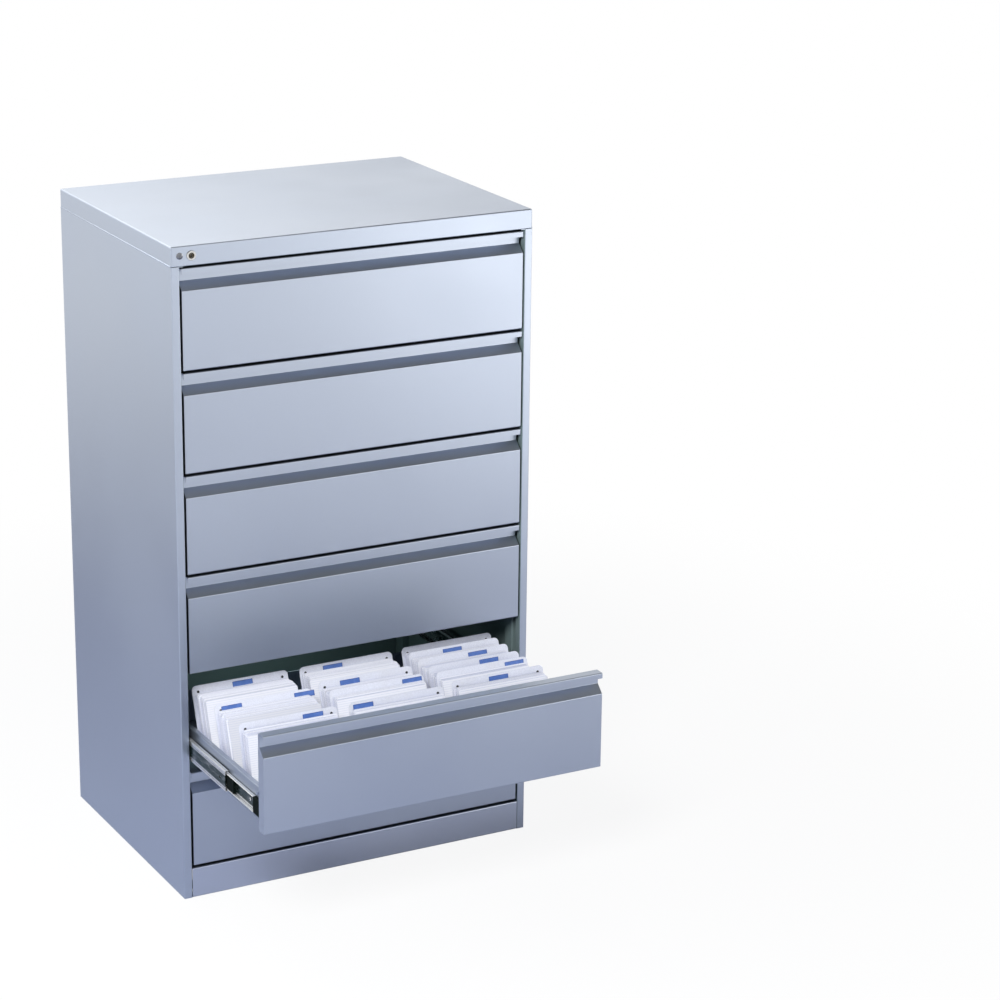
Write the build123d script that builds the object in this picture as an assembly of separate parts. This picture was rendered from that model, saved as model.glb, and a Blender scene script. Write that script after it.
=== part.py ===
"""Card-index filing cabinet: a folded sheet-steel carcass with six full-width drawers.

Each drawer is a welded tray behind a box-folded front, and runs on a pair of three-part
telescopic ball slides. A cam lock in the top cover lifts a locking bar that catches every
tray. The fifth drawer stands open and holds three rows of index cards.

Millimetres. X runs to the right, Y to the back, Z up. The origin is on the floor, under the
centre of the carcass.
"""
from build123d import *
import math
import os

# ---- Carcass sizes ----
WIDTH = 787.0
DEPTH = 590.0
COVER_HEIGHT = 40.0
PLINTH_HEIGHT = 64.0
STILE_WIDTH = 17.5
STILE_RETURN = 16.0
REAR_RETURN = 20.0
TOP_FLANGE = 25.0
COVER_RETURN = 18.0
COVER_CORNER = 4.0
COVER_EDGE = 3.0
COVER_LOWER_EDGE = 1.8
PANEL_EDGE = 0.9
EDGE_SEARCH = 0.1
PLINTH_TOP_FLANGE = 40.0
PLINTH_TO_PAN = 2.0
PLINTH_FOOT_FLANGE = 25.0
BACK_FLANGE = 13.0
FLANGE_NOTCH_CLEARANCE = 1.0
BACK_CLEAR_OF_FLOOR = 10.0
BASE_SKIRT = 40.0
SHEET = 1.2
BEND = 1.6

# ---- Drawers ----
DRAWER_COUNT = 6
OPEN_DRAWER = 5
REST_OPENING = 353.0
TRAVEL = 510.0
FRONT_HEIGHT = 203.0
FRONT_DEPTH = 24.0
LIP_HEIGHT = 11.5
RECESS_DEPTH = 18.0
RECESS_WALL = 28.0
RECESS_FOOT = 45.0
TRAY_SHEET = 1.0
TRAY_HEIGHT = 70.0
TRAY_LIFT = 12.0
TRAY_RIM = 10.0
DIVIDER_HEIGHT = 62.0
DIVIDER_FOOT = 11.0
DIVIDER_HEM = 4.0
LANE_SPARE = 6.3

# ---- Gaps ----
FRONT_GAP = 5.0
TOP_GAP = 4.0
PLINTH_GAP = 6.0
SIDE_GAP = 4.0
SEAT_CLEARANCE = 0.3
FIT_CLEARANCE = 0.1
RUNNING_CLEARANCE = 0.05

# ---- Uprights and telescopic slides ----
UPRIGHT_SHEET = 1.5
UPRIGHT_DEPTH = 32.0
UPRIGHT_FROM_STILE = 16.0
REAR_UPRIGHT_FROM_BACK = 8.0
SLIDE_WIDTH = 12.7
SLIDE_HEIGHT = 54.0
SLIDE_SHEET = 1.2
SLIDE_BEND = 1.0
SLIDE_LEVEL = 43.0
SLIDE_FROM_FRONT = 30.0
SLIDE_FROM_BACK = 15.0
BALL = 3.6
CAGE_SHEET = 0.5
CAGE_GAP = 0.25
CAGE_END = 6.0
RACE_LIP = 10.2
RACE_HOOK = 1.2
MIDDLE_SHARE = 0.57
BUFFER_BEHIND_FRONT = 2.0
BUFFER_LENGTH = 28.0
LEVER_START = 143.0
LEVER_LENGTH = 36.0
LEVER_HEIGHT = 27.0
LEVER_FINGER = 5.0
GROOVE_WIDTH = 2.4
GROOVE_DEPTH = 0.5
GROOVE_FROM_EDGE = 6.0
SLOTS_PER_MEMBER = 4
SLOT_LENGTH = 11.0
SLOT_WIDTH = 4.6
SLOT_FROM_END = 26.0

# ---- Lock ----
LOCK_FROM_SIDE = 42.5
LOCK_ABOVE_SKIRT = 20.0
LOCK_FACE_RADIUS = 9.8
LOCK_FACE_THICKNESS = 1.8
LOCK_BODY_RADIUS = 8.8
LOCK_BODY_LENGTH = 15.0
LOCK_NUT_ACROSS = 22.0
LOCK_NUT_THICKNESS = 3.0
CORE_RADIUS = 6.0
CORE_SPIGOT_RADIUS = 4.0
KEYWAY_WIDTH = 2.0
KEYWAY_HEIGHT = 8.0
KEYWAY_DEPTH = 9.0
CAM_RADIUS = 8.0
CAM_THICKNESS = 2.0
CAM_PIN_RADIUS = 2.0
CAM_THROW = 4.6
BAR_WIDTH = 10.0
BAR_THICKNESS = 2.0
BAR_FROM_SIDE = 3.3
BAR_BEHIND_RETURN = 3.5
BAR_FOOT_BELOW_PAN = 10.0
TONGUE_HEIGHT = 12.0
HOOK_HEIGHT = 8.0
HOOK_GRIP = 1.8
LUG_LEVEL = 63.0
LUG_HEIGHT = 6.0
LUG_THICKNESS = 3.5
LUG_SIDE_CLEARANCE = 0.8
BLANKING_FROM_SIDE = 18.5
BLANKING_ABOVE_SKIRT = 21.0
BLANKING_RADIUS = 6.75
BLANKING_DOME = 1.6
BLANKING_FLAT_SHARE = 0.6
BLANKING_STEM_RADIUS = 4.5
BLANKING_STEM_LENGTH = 6.0

# ---- Feet, rivets and wall fixing ----
FOOT_FROM_SIDE = 43.5
FOOT_FROM_FRONT = 50.0
FOOT_FROM_BACK = 45.0
FOOT_PAD_RADIUS = 16.0
FOOT_PAD_HEIGHT = 8.0
FOOT_PAD_BEVEL = 2.7
FOOT_STEM_RADIUS = 5.0
FOOT_STEM_ABOVE_PAN = 5.0
FOOT_NUT_ACROSS = 17.0
FOOT_NUT_HEIGHT = 8.0
RIVETS_PER_SIDE = 6
RIVET_END_MARGIN = 60.0
RIVET_SHANK_RADIUS = 1.6
RIVET_HEAD_RADIUS = 3.2
RIVET_HEAD_HEIGHT = 1.0
RIVET_FROM_SIDE = 11.0
WALL_HOLE_RADIUS = 4.5
WALL_HOLE_SPACING = 600.0
WALL_HOLE_FROM_TOP = 67.0

# ---- Index cards, guides and tabs in the open drawer ----
GUIDE_SIDE_ROOM = 13.0
GUIDE_HEIGHT = 150.0
GUIDE_SHEET = 0.8
GUIDE_CORNER = 10.0
GUIDE_HOLE_RADIUS = 2.5
GUIDE_HOLE_INSET = 13.0
CARD_SIDE_ROOM = 2.0
CARD_BELOW_GUIDE = 11.0
CARD_LEAN = 19.0
FRONT_CARD_LEAN = 13.0
TAB_WIDTH = 44.0
TAB_HEIGHT = 11.0
TAB_SHEET = 0.6
TAB_BELOW_TOP = 5.0
# Each row, from the back: where the guide's top edge stands behind the drawer front, whether
# it has punched corners, how far its tabs are from the row's centre as shares of the guide's
# width, and how far its cards reach towards the front.
CARD_ROWS = [
    [
        (416.0, True, [0.024], 52.0),
        (302.0, True, [-0.325, 0.425], 50.0),
        (181.0, True, [0.25], 34.0),
    ],
    [
        (415.0, True, [-0.146], 42.0),
        (323.0, True, [-0.17], 47.0),
        (272.0, False, [0.377], 22.0),
        (182.0, True, [-0.349], 26.0),
    ],
    [
        (422.0, True, [], 31.0),
        (389.0, False, [-0.019], 38.0),
        (348.0, False, [0.16], 45.0),
        (300.0, False, [0.165], 33.0),
        (264.0, False, [0.354], 14.0),
        (196.0, True, [0.009], 26.0),
    ],
]
FRONT_GROUP_BEFORE = 200.0

# ---- Planes and levels that follow from the sizes ----
FRONT_PLANE = -DEPTH / 2
BACK_PLANE = DEPTH / 2
LOWEST_FRONT = PLINTH_HEIGHT + PLINTH_GAP
DRAWER_PITCH = FRONT_HEIGHT + FRONT_GAP
COVER_BOTTOM = LOWEST_FRONT + DRAWER_COUNT * DRAWER_PITCH - FRONT_GAP + TOP_GAP
HEIGHT = COVER_BOTTOM + COVER_HEIGHT
SIDE_INNER = WIDTH / 2 - SHEET
OPENING_HALF = WIDTH / 2 - STILE_WIDTH
FRONT_HALF = OPENING_HALF - SIDE_GAP
TRAY_HALF = OPENING_HALF - SLIDE_WIDTH
TRAY_FLOOR = TRAY_LIFT + TRAY_SHEET
LANE_PITCH = 2 * (TRAY_HALF - LANE_SPARE) / 3
GUIDE_WIDTH = LANE_PITCH - 2 * GUIDE_SIDE_ROOM
CARD_WIDTH = GUIDE_WIDTH - 2 * CARD_SIDE_ROOM
CARD_HEIGHT = GUIDE_HEIGHT - CARD_BELOW_GUIDE
PAN_TOP = PLINTH_HEIGHT + SHEET
PAN_FRONT = FRONT_PLANE + STILE_RETURN + PLINTH_TO_PAN
UPRIGHT_TOP = COVER_BOTTOM - SHEET
FRONT_UPRIGHT = FRONT_PLANE + STILE_RETURN + UPRIGHT_FROM_STILE
BACK_INNER = BACK_PLANE - 2 * SHEET
REAR_UPRIGHT = BACK_INNER - REAR_UPRIGHT_FROM_BACK - UPRIGHT_DEPTH
SLIDE_START = SLIDE_FROM_FRONT
SLIDE_END = DEPTH - SLIDE_FROM_BACK
LOCK_X = -WIDTH / 2 + LOCK_FROM_SIDE
LOCK_Z = COVER_BOTTOM + LOCK_ABOVE_SKIRT
LOCK_BACK = FRONT_PLANE + LOCK_BODY_LENGTH
BAR_X = -SIDE_INNER + BAR_FROM_SIDE
BAR_Y = FRONT_PLANE + STILE_RETURN + BAR_BEHIND_RETURN + SHEET / 2
BAR_LIFT = CAM_THROW * math.sqrt(2)
BLANKING_X = -WIDTH / 2 + BLANKING_FROM_SIDE
BLANKING_Z = COVER_BOTTOM + BLANKING_ABOVE_SKIRT


def slab(x_range, y_range, z_range):
    """Rectangular block between two limits on each axis."""
    ranges = (x_range, y_range, z_range)
    sizes = [high - low for low, high in ranges]
    centre = [(high + low) / 2 for low, high in ranges]
    return Pos(*centre) * Box(*sizes)


def rod(centre, radius, y_range):
    """Round bar along Y, at the (x, z) centre."""
    low, high = y_range
    bar = Cylinder(radius, high - low, rotation=(90, 0, 0))
    return Pos(centre[0], (low + high) / 2, centre[1]) * bar


def folded(points, plane, length, sheet=SHEET, bend=BEND):
    """Sheet whose middle line runs through the points on the plane, pulled along its normal."""
    middle = FilletPolyline(*points, radius=bend)
    return extrude(plane * trace(middle, sheet), length)


def both_sides(shape):
    """The right-hand piece and its mirror image on the left."""
    return [shape, mirror(shape, Plane.YZ)]


def write(name, *shapes):
    """One STEP file holding the solids of the given shapes."""
    solids = [solid for shape in shapes for solid in shape.solids()]
    piece = solids[0] if len(solids) == 1 else Compound(solids)
    export_step(piece, os.path.join("parts", name + ".step"))


# ---- Carcass ----
def rivet_places():
    """The (x, z) centres of the rivets that hold the back panel."""
    x = WIDTH / 2 - RIVET_FROM_SIDE
    low = PLINTH_HEIGHT + RIVET_END_MARGIN
    step = (COVER_BOTTOM - RIVET_END_MARGIN - low) / (RIVETS_PER_SIDE - 1)
    return [(side * x, low + row * step) for side in (-1, 1) for row in range(RIVETS_PER_SIDE)]


def rivet_holes():
    """Drills through the rear returns and the back panel."""
    depth = (BACK_INNER - SHEET, BACK_PLANE + SHEET)
    return [rod(place, RIVET_SHANK_RADIUS, depth) for place in rivet_places()]


def bar_slot():
    """Opening that guides the locking bar through a horizontal sheet."""
    half = BAR_WIDTH / 2 + SEAT_CLEARANCE
    thick = BAR_THICKNESS / 2 + SEAT_CLEARANCE
    centre = BAR_X + BAR_WIDTH / 2
    return slab((centre - half, centre + half), (BAR_Y - thick, BAR_Y + thick), (0, HEIGHT))


def side_panel():
    """Right side: stile and its return, the side, the rear return and the top flange."""
    outer = WIDTH / 2 - SHEET / 2
    inner = OPENING_HALF + SHEET / 2
    front = FRONT_PLANE + SHEET / 2
    back = BACK_PLANE - SHEET / 2
    points = [
        (inner, FRONT_PLANE + STILE_RETURN),
        (inner, front),
        (outer, front),
        (outer, back),
        (outer - REAR_RETURN, back),
    ]
    wall = folded(points, Plane.XY, COVER_BOTTOM)
    flange = slab(
        (outer - TOP_FLANGE, outer),
        (FRONT_PLANE + SHEET, BACK_PLANE - SHEET),
        (COVER_BOTTOM - SHEET, COVER_BOTTOM),
    )
    panel = wall + flange
    rim = [
        edge
        for edge in panel.edges()
        if edge.bounding_box().min.Z > COVER_BOTTOM - EDGE_SEARCH
        and is_outer_edge(edge)
    ]
    return fillet(rim, PANEL_EDGE)


def is_outer_edge(edge):
    """Whether an edge of the side panel lies on its outer faces."""
    middle = edge @ 0.5
    on_side = middle.X > WIDTH / 2 - (BEND + SHEET) / 2
    on_end = abs(middle.Y) > DEPTH / 2 - SHEET / 2
    return on_side or (on_end and middle.X > OPENING_HALF - SHEET)


def back_panel():
    """Back sheet inside the rear returns, flanged forward at its top and foot."""
    middle = BACK_INNER + SHEET / 2
    top = COVER_BOTTOM - SHEET / 2
    foot = BACK_CLEAR_OF_FLOOR + SHEET / 2
    reach = middle - BACK_FLANGE
    half = SIDE_INNER - BEND
    points = [(reach, top), (middle, top), (middle, foot), (reach, foot)]
    panel = Pos(-half, 0, 0) * folded(points, Plane.YZ, 2 * half)
    notch_start = WIDTH / 2 - SHEET / 2 - TOP_FLANGE - FLANGE_NOTCH_CLEARANCE
    notch = slab(
        (notch_start, WIDTH / 2),
        (reach - SHEET, BACK_PLANE),
        (COVER_BOTTOM - SHEET - BEND - FIT_CLEARANCE, COVER_BOTTOM),
    )
    for cut in both_sides(notch) + rivet_holes():
        panel -= cut
    hole_z = COVER_BOTTOM - WALL_HOLE_FROM_TOP + COVER_HEIGHT
    for side in (-1, 1):
        place = (side * WALL_HOLE_SPACING / 2, hole_z)
        panel -= rod(place, WALL_HOLE_RADIUS, (BACK_INNER - SHEET, BACK_PLANE))
    return panel


def filleted_box(width, depth, z_range, corner, top_edge, lower_edge):
    """Box with rounded upright corners, top edges and lower edges."""
    box = slab((-width / 2, width / 2), (-depth / 2, depth / 2), z_range)
    box = fillet(box.edges().filter_by(Axis.Z), corner)
    box = fillet(box.edges().group_by(Axis.Z)[-1], top_edge)
    return fillet(box.edges().group_by(Axis.Z)[0], lower_edge)


def top_cover():
    """Deep pan over the carcass, with a skirt and an inward return round its foot."""
    levels = (COVER_BOTTOM, HEIGHT)
    inner_levels = (COVER_BOTTOM + SHEET, HEIGHT - SHEET)
    outer = filleted_box(WIDTH, DEPTH, levels, COVER_CORNER, COVER_EDGE, COVER_LOWER_EDGE)
    inner = filleted_box(
        WIDTH - 2 * SHEET,
        DEPTH - 2 * SHEET,
        inner_levels,
        COVER_CORNER - SHEET,
        COVER_EDGE - SHEET,
        COVER_LOWER_EDGE - SHEET,
    )
    window = slab(
        (COVER_RETURN - WIDTH / 2, WIDTH / 2 - COVER_RETURN),
        (COVER_RETURN - DEPTH / 2, DEPTH / 2 - COVER_RETURN),
        (COVER_BOTTOM - SHEET, COVER_BOTTOM + 2 * SHEET),
    )
    through = (FRONT_PLANE - SHEET, FRONT_PLANE + 2 * SHEET)
    cover = outer - inner - window
    cover -= rod((LOCK_X, LOCK_Z), LOCK_BODY_RADIUS + FIT_CLEARANCE, through)
    cover -= rod((BLANKING_X, BLANKING_Z), BLANKING_STEM_RADIUS + FIT_CLEARANCE, through)
    return cover - slab_below(bar_slot(), COVER_BOTTOM + 2 * SHEET)


def slab_below(cutter, level):
    """The part of a cutter that lies below the level."""
    size = 2 * HEIGHT
    return cutter & slab((-size, size), (-size, size), (-size, level))


def base_pan():
    """Floor of the carcass, with skirts down its sides and holes for the feet."""
    half = SIDE_INNER - FIT_CLEARANCE - SHEET / 2
    top = PLINTH_HEIGHT + SHEET / 2
    points = [(-half, top - BASE_SKIRT), (-half, top), (half, top), (half, top - BASE_SKIRT)]
    back = BACK_INNER - SEAT_CLEARANCE
    pan = Pos(0, back, 0) * folded(points, Plane.XZ, back - PAN_FRONT)
    for x, y in foot_places():
        hole = Cylinder(FOOT_STEM_RADIUS + FIT_CLEARANCE, 4 * SHEET)
        pan -= Pos(x, y, PLINTH_HEIGHT) * hole
    return pan - bar_slot()


def plinth():
    """Kick plate between the stiles, a channel that opens to the back."""
    half = OPENING_HALF - SEAT_CLEARANCE
    front = FRONT_PLANE + SHEET / 2
    top = PLINTH_HEIGHT - SHEET / 2
    foot = SHEET / 2
    points = [
        (FRONT_PLANE + PLINTH_TOP_FLANGE, top),
        (front, top),
        (front, foot),
        (FRONT_PLANE + PLINTH_FOOT_FLANGE, foot),
    ]
    return Pos(-half, 0, 0) * folded(points, Plane.YZ, 2 * half)


def upright(front):
    """Channel that carries the slides, from the front given back to its depth."""
    web = OPENING_HALF + UPRIGHT_SHEET / 2
    flange = SIDE_INNER - FIT_CLEARANCE
    near = front + UPRIGHT_SHEET / 2
    far = front + UPRIGHT_DEPTH - UPRIGHT_SHEET / 2
    points = [(flange, near), (web, near), (web, far), (flange, far)]
    channel = folded(points, Plane.XY, UPRIGHT_TOP - PAN_TOP, UPRIGHT_SHEET)
    return Pos(0, 0, PAN_TOP) * channel


def foot_places():
    """The (x, y) centres of the four levelling feet."""
    x = WIDTH / 2 - FOOT_FROM_SIDE
    rows = (FRONT_PLANE + FOOT_FROM_FRONT, BACK_PLANE - FOOT_FROM_BACK)
    return [(side * x, y) for side in (-1, 1) for y in rows]


def levelling_foot():
    """Round pad, threaded stem and the nut that bears on the underside of the pan."""
    pad = Pos(0, 0, FOOT_PAD_HEIGHT / 2) * Cylinder(FOOT_PAD_RADIUS, FOOT_PAD_HEIGHT)
    pad = chamfer(pad.edges().group_by(Axis.Z)[-1], FOOT_PAD_BEVEL)
    stem_top = PAN_TOP + FOOT_STEM_ABOVE_PAN
    stem = Pos(0, 0, stem_top / 2) * Cylinder(FOOT_STEM_RADIUS, stem_top)
    hexagon = RegularPolygon(FOOT_NUT_ACROSS / 2, 6, major_radius=False)
    nut = Pos(0, 0, PLINTH_HEIGHT - FOOT_NUT_HEIGHT) * extrude(hexagon, FOOT_NUT_HEIGHT)
    return pad + stem + nut


def rivet():
    """Domed rivet along Y, its head against the rear return."""
    head = Cone(RIVET_HEAD_RADIUS, RIVET_HEAD_RADIUS / 2, RIVET_HEAD_HEIGHT, rotation=(-90, 0, 0))
    head = Pos(0, BACK_PLANE + RIVET_HEAD_HEIGHT / 2, 0) * head
    return head + rod((0, 0), RIVET_SHANK_RADIUS, (BACK_INNER - SHEET / 2, BACK_PLANE))


# ---- Lock ----
def turned(profile, x, z):
    """Solid turned about a line along Y, from (radius, y) points."""
    face = make_face(Polyline(*profile, close=True))
    return Pos(x, 0, z) * revolve(face, Axis.Y)


def lock_housing():
    """Lock barrel with its face ring outside the skirt and its nut behind it."""
    face = FRONT_PLANE - LOCK_FACE_THICKNESS
    bore = CORE_RADIUS + RUNNING_CLEARANCE
    bevel = LOCK_FACE_THICKNESS / 3
    profile = [
        (bore, face),
        (LOCK_FACE_RADIUS - bevel, face),
        (LOCK_FACE_RADIUS, face + bevel),
        (LOCK_FACE_RADIUS, FRONT_PLANE),
        (LOCK_BODY_RADIUS, FRONT_PLANE),
        (LOCK_BODY_RADIUS, LOCK_BACK),
        (bore, LOCK_BACK),
    ]
    hexagon = RegularPolygon(LOCK_NUT_ACROSS / 2, 6, major_radius=False)
    nut_back = FRONT_PLANE + SHEET + LOCK_NUT_THICKNESS
    nut = Pos(LOCK_X, nut_back, LOCK_Z) * extrude(Plane.XZ * hexagon, LOCK_NUT_THICKNESS)
    nut -= rod((LOCK_X, LOCK_Z), LOCK_BODY_RADIUS, (FRONT_PLANE, nut_back + SHEET))
    return turned(profile, LOCK_X, LOCK_Z) + nut


def lock_core():
    """Turning barrel with its keyway, and the spigot that carries the cam."""
    face = FRONT_PLANE - LOCK_FACE_THICKNESS + FIT_CLEARANCE
    spigot_back = LOCK_BACK + SEAT_CLEARANCE + CAM_THICKNESS
    barrel = rod((LOCK_X, LOCK_Z), CORE_RADIUS, (face, LOCK_BACK))
    spigot = rod((LOCK_X, LOCK_Z), CORE_SPIGOT_RADIUS, (LOCK_BACK, spigot_back))
    keyway = slab(
        (LOCK_X - KEYWAY_WIDTH / 2, LOCK_X + KEYWAY_WIDTH / 2),
        (FRONT_PLANE - CORE_RADIUS, face + KEYWAY_DEPTH),
        (LOCK_Z - KEYWAY_HEIGHT / 2, LOCK_Z + KEYWAY_HEIGHT / 2),
    )
    return barrel + spigot - keyway


def cam_pin_centre():
    """Where the cam's pin stands while the lock is open: low, on the side of the bar."""
    offset = CAM_THROW / math.sqrt(2)
    return LOCK_X - offset, LOCK_Z - offset


def lock_cam():
    """Disc on the core's spigot, with the eccentric pin that lifts the locking bar."""
    near = LOCK_BACK + SEAT_CLEARANCE
    far = near + CAM_THICKNESS
    disc = rod((LOCK_X, LOCK_Z), CAM_RADIUS, (near, far))
    pin = rod(cam_pin_centre(), CAM_PIN_RADIUS, (far, BAR_Y + BAR_THICKNESS))
    return disc + pin - rod((LOCK_X, LOCK_Z), CORE_SPIGOT_RADIUS, (LOCK_BACK, far))


def hook_top(level):
    """Top of the hook for a drawer whose front's lower edge is at the level."""
    return level + TRAY_LIFT + LUG_LEVEL - 2 * SEAT_CLEARANCE


def locking_bar():
    """Flat bar behind the left stile, with a hook for each tray and a tongue at the lock."""
    thickness = (BAR_Y - BAR_THICKNESS / 2, BAR_Y + BAR_THICKNESS / 2)
    pin_x, pin_z = cam_pin_centre()
    tongue_low = pin_z - TONGUE_HEIGHT / 2
    tongue_high = pin_z + TONGUE_HEIGHT / 2
    foot = PLINTH_HEIGHT - BAR_FOOT_BELOW_PAN
    bar = slab((BAR_X, BAR_X + BAR_WIDTH), thickness, (foot, tongue_high))
    bar += slab((BAR_X, LOCK_X + CAM_PIN_RADIUS), thickness, (tongue_low, tongue_high))
    lug_tip = lug_reach()
    for number in range(1, DRAWER_COUNT + 1):
        top = hook_top(front_level(number))
        bar += slab((BAR_X, -lug_tip + HOOK_GRIP), thickness, (top - HOOK_HEIGHT, top))
    slot_half = CAM_PIN_RADIUS + SEAT_CLEARANCE
    slot_reach = slot_half + CAM_THROW - CAM_THROW / math.sqrt(2)
    slot = slab(
        (pin_x - slot_reach, pin_x + slot_half),
        (BAR_Y - BAR_THICKNESS, BAR_Y + BAR_THICKNESS),
        (pin_z - slot_half, pin_z + slot_half),
    )
    return bar - slot


def blanking_cap():
    """Low domed cap beside the lock, on a stem through the skirt."""
    face = FRONT_PLANE - BLANKING_DOME
    profile = [
        (0.0, face),
        (BLANKING_RADIUS * BLANKING_FLAT_SHARE, face),
        (BLANKING_RADIUS, face + BLANKING_DOME * BLANKING_FLAT_SHARE),
        (BLANKING_RADIUS, FRONT_PLANE),
        (BLANKING_STEM_RADIUS, FRONT_PLANE),
        (BLANKING_STEM_RADIUS, FRONT_PLANE + BLANKING_STEM_LENGTH),
        (0.0, FRONT_PLANE + BLANKING_STEM_LENGTH),
    ]
    return turned(profile, BLANKING_X, BLANKING_Z)


# ---- Drawers: local Y starts at the front plane, local Z at the front's lower edge ----
def front_level(number):
    """Height of the lower edge of a drawer front, counted from the top."""
    return LOWEST_FRONT + (DRAWER_COUNT - number) * DRAWER_PITCH


def front_section():
    """Section of a front across its width: a closed box under a grip lip that hangs free."""
    half_sheet = SHEET / 2
    top = FRONT_HEIGHT - half_sheet
    back = FRONT_DEPTH - half_sheet
    wall = RECESS_DEPTH + half_sheet
    seam = FRONT_HEIGHT - LIP_HEIGHT
    box = [
        (wall, FRONT_HEIGHT - SHEET),
        (wall, FRONT_HEIGHT - RECESS_WALL),
        (half_sheet, FRONT_HEIGHT - RECESS_FOOT),
        (half_sheet, half_sheet),
        (back, half_sheet),
        (back, seam),
    ]
    lip = [(half_sheet, seam), (half_sheet, top), (back, top), (back, seam)]
    paths = [FilletPolyline(*points, radius=BEND) for points in (box, lip)]
    return Plane.YZ * (trace(paths[0], SHEET) + trace(paths[1], SHEET))


def drawer_front():
    """Box-folded front: grip lip, recess wall, slanted ledge, face, foot and inner skin."""
    section = front_section()
    outline = make_face(section.faces()[0].outer_wire().edges())
    inner_half = FRONT_HALF - SHEET
    front = Pos(-inner_half, 0, 0) * extrude(section, 2 * inner_half, dir=(1, 0, 0))
    for start in (-FRONT_HALF, inner_half):
        front += Pos(start, 0, 0) * extrude(outline, SHEET, dir=(1, 0, 0))
    return front


def lug_reach():
    """How far the trays' catch lugs reach from the middle of the cabinet."""
    return OPENING_HALF - LUG_SIDE_CLEARANCE


def tray():
    """Welded tray: floor, rimmed sides, end walls and the lug that the lock catches."""
    half_sheet = TRAY_SHEET / 2
    side = TRAY_HALF - half_sheet
    rim = TRAY_LIFT + TRAY_HEIGHT - half_sheet
    floor = TRAY_LIFT + half_sheet
    rim_end = TRAY_HALF - TRAY_RIM
    points = [(-rim_end, rim), (-side, rim), (-side, floor), (side, floor), (side, rim), (rim_end, rim)]
    length = SLIDE_END - FRONT_DEPTH
    body = Pos(0, SLIDE_END, 0) * folded(points, Plane.XZ, length, TRAY_SHEET)
    walls = (TRAY_LIFT + half_sheet, TRAY_LIFT + TRAY_HEIGHT)
    width = (-side, side)
    body += slab(width, (FRONT_DEPTH, FRONT_DEPTH + TRAY_SHEET), walls)
    body += slab(width, (SLIDE_END - TRAY_SHEET, SLIDE_END), walls)
    lug_low = TRAY_LIFT + LUG_LEVEL
    lug_start = FRONT_DEPTH + TRAY_SHEET / 2
    lug = slab(
        (-lug_reach(), -side),
        (lug_start, lug_start + LUG_THICKNESS),
        (lug_low, lug_low + LUG_HEIGHT),
    )
    return body + lug


def lane_divider():
    """Upright partition between two rows of cards, on a flange spot-welded to the floor."""
    half_sheet = TRAY_SHEET / 2
    floor = TRAY_FLOOR + half_sheet
    top = TRAY_FLOOR + DIVIDER_HEIGHT
    points = [(DIVIDER_FOOT, floor), (0, floor), (0, top), (DIVIDER_HEM, top)]
    start = FRONT_DEPTH + TRAY_SHEET + SEAT_CLEARANCE
    end = SLIDE_END - TRAY_SHEET - SEAT_CLEARANCE
    blade = folded(points, Plane.XZ, end - start, TRAY_SHEET, TRAY_SHEET)
    return Pos(LANE_PITCH / 2, end, 0) * blade


# ---- Telescopic slides: u runs from the upright to the tray, v up from the slide's centre ----
def slide_length(points, y_range, bend=SLIDE_BEND, sheet=SLIDE_SHEET):
    """Right-hand slide section through (u, v) points, drawn from the front to the back end."""
    start, end = y_range
    placed = [(OPENING_HALF - u, SLIDE_LEVEL + v) for u, v in points]
    return Pos(0, end, 0) * folded(placed, Plane.XZ, end - start, sheet, bend)


def channel_points(web, lip, height):
    """Middle line of a channel whose lips turn in at their ends."""
    hook = lip + math.copysign(RACE_HOOK, lip - web)
    return [
        (hook, height - RACE_HOOK),
        (lip, height),
        (web, height),
        (web, -height),
        (lip, -height),
        (hook, RACE_HOOK - height),
    ]


def race_levels():
    """Half heights of the middle lines: cabinet, middle and drawer member."""
    cabinet = SLIDE_HEIGHT / 2 - SLIDE_SHEET / 2
    step = BALL + 2 * RUNNING_CLEARANCE + SLIDE_SHEET
    return cabinet, cabinet - step, cabinet - 2 * step


def middle_web():
    """Distance of the middle member's web from the upright, to its middle line."""
    return SLIDE_SHEET * 1.5 + CAGE_SHEET + 2 * CAGE_GAP


def cage_reach(web):
    """Distance from the upright at which the cage that lies on a web leaves room to pass."""
    return web + SLIDE_SHEET / 2 + CAGE_SHEET + 2 * CAGE_GAP


def cabinet_lip():
    """Where the lips of the cabinet member end, before they turn in."""
    return RACE_LIP - 2 * RACE_HOOK


def drawer_lip():
    """Where the lips of the drawer member end, clear of the inner cage."""
    return cage_reach(middle_web()) + SLIDE_SHEET / 2 + RACE_HOOK


def slotted_channel(web, lip, height, y_range):
    """Slide member with elongated holes along the middle of its web."""
    start, end = y_range
    channel = slide_length(channel_points(web, lip, height), y_range)
    outline = Plane.YZ * SlotOverall(SLOT_LENGTH, SLOT_WIDTH)
    slot = Pos(OPENING_HALF - web - SLIDE_SHEET, 0, SLIDE_LEVEL) * extrude(outline, 2 * SLIDE_SHEET)
    step = (end - start - 2 * SLOT_FROM_END) / (SLOTS_PER_MEMBER - 1)
    for index in range(SLOTS_PER_MEMBER):
        channel -= Pos(0, start + SLOT_FROM_END + index * step, 0) * slot
    return channel


def cabinet_member():
    """Outer channel, screwed to the uprights."""
    y_range = (SLIDE_START, SLIDE_END)
    return slotted_channel(SLIDE_SHEET / 2, cabinet_lip(), race_levels()[0], y_range)


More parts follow.
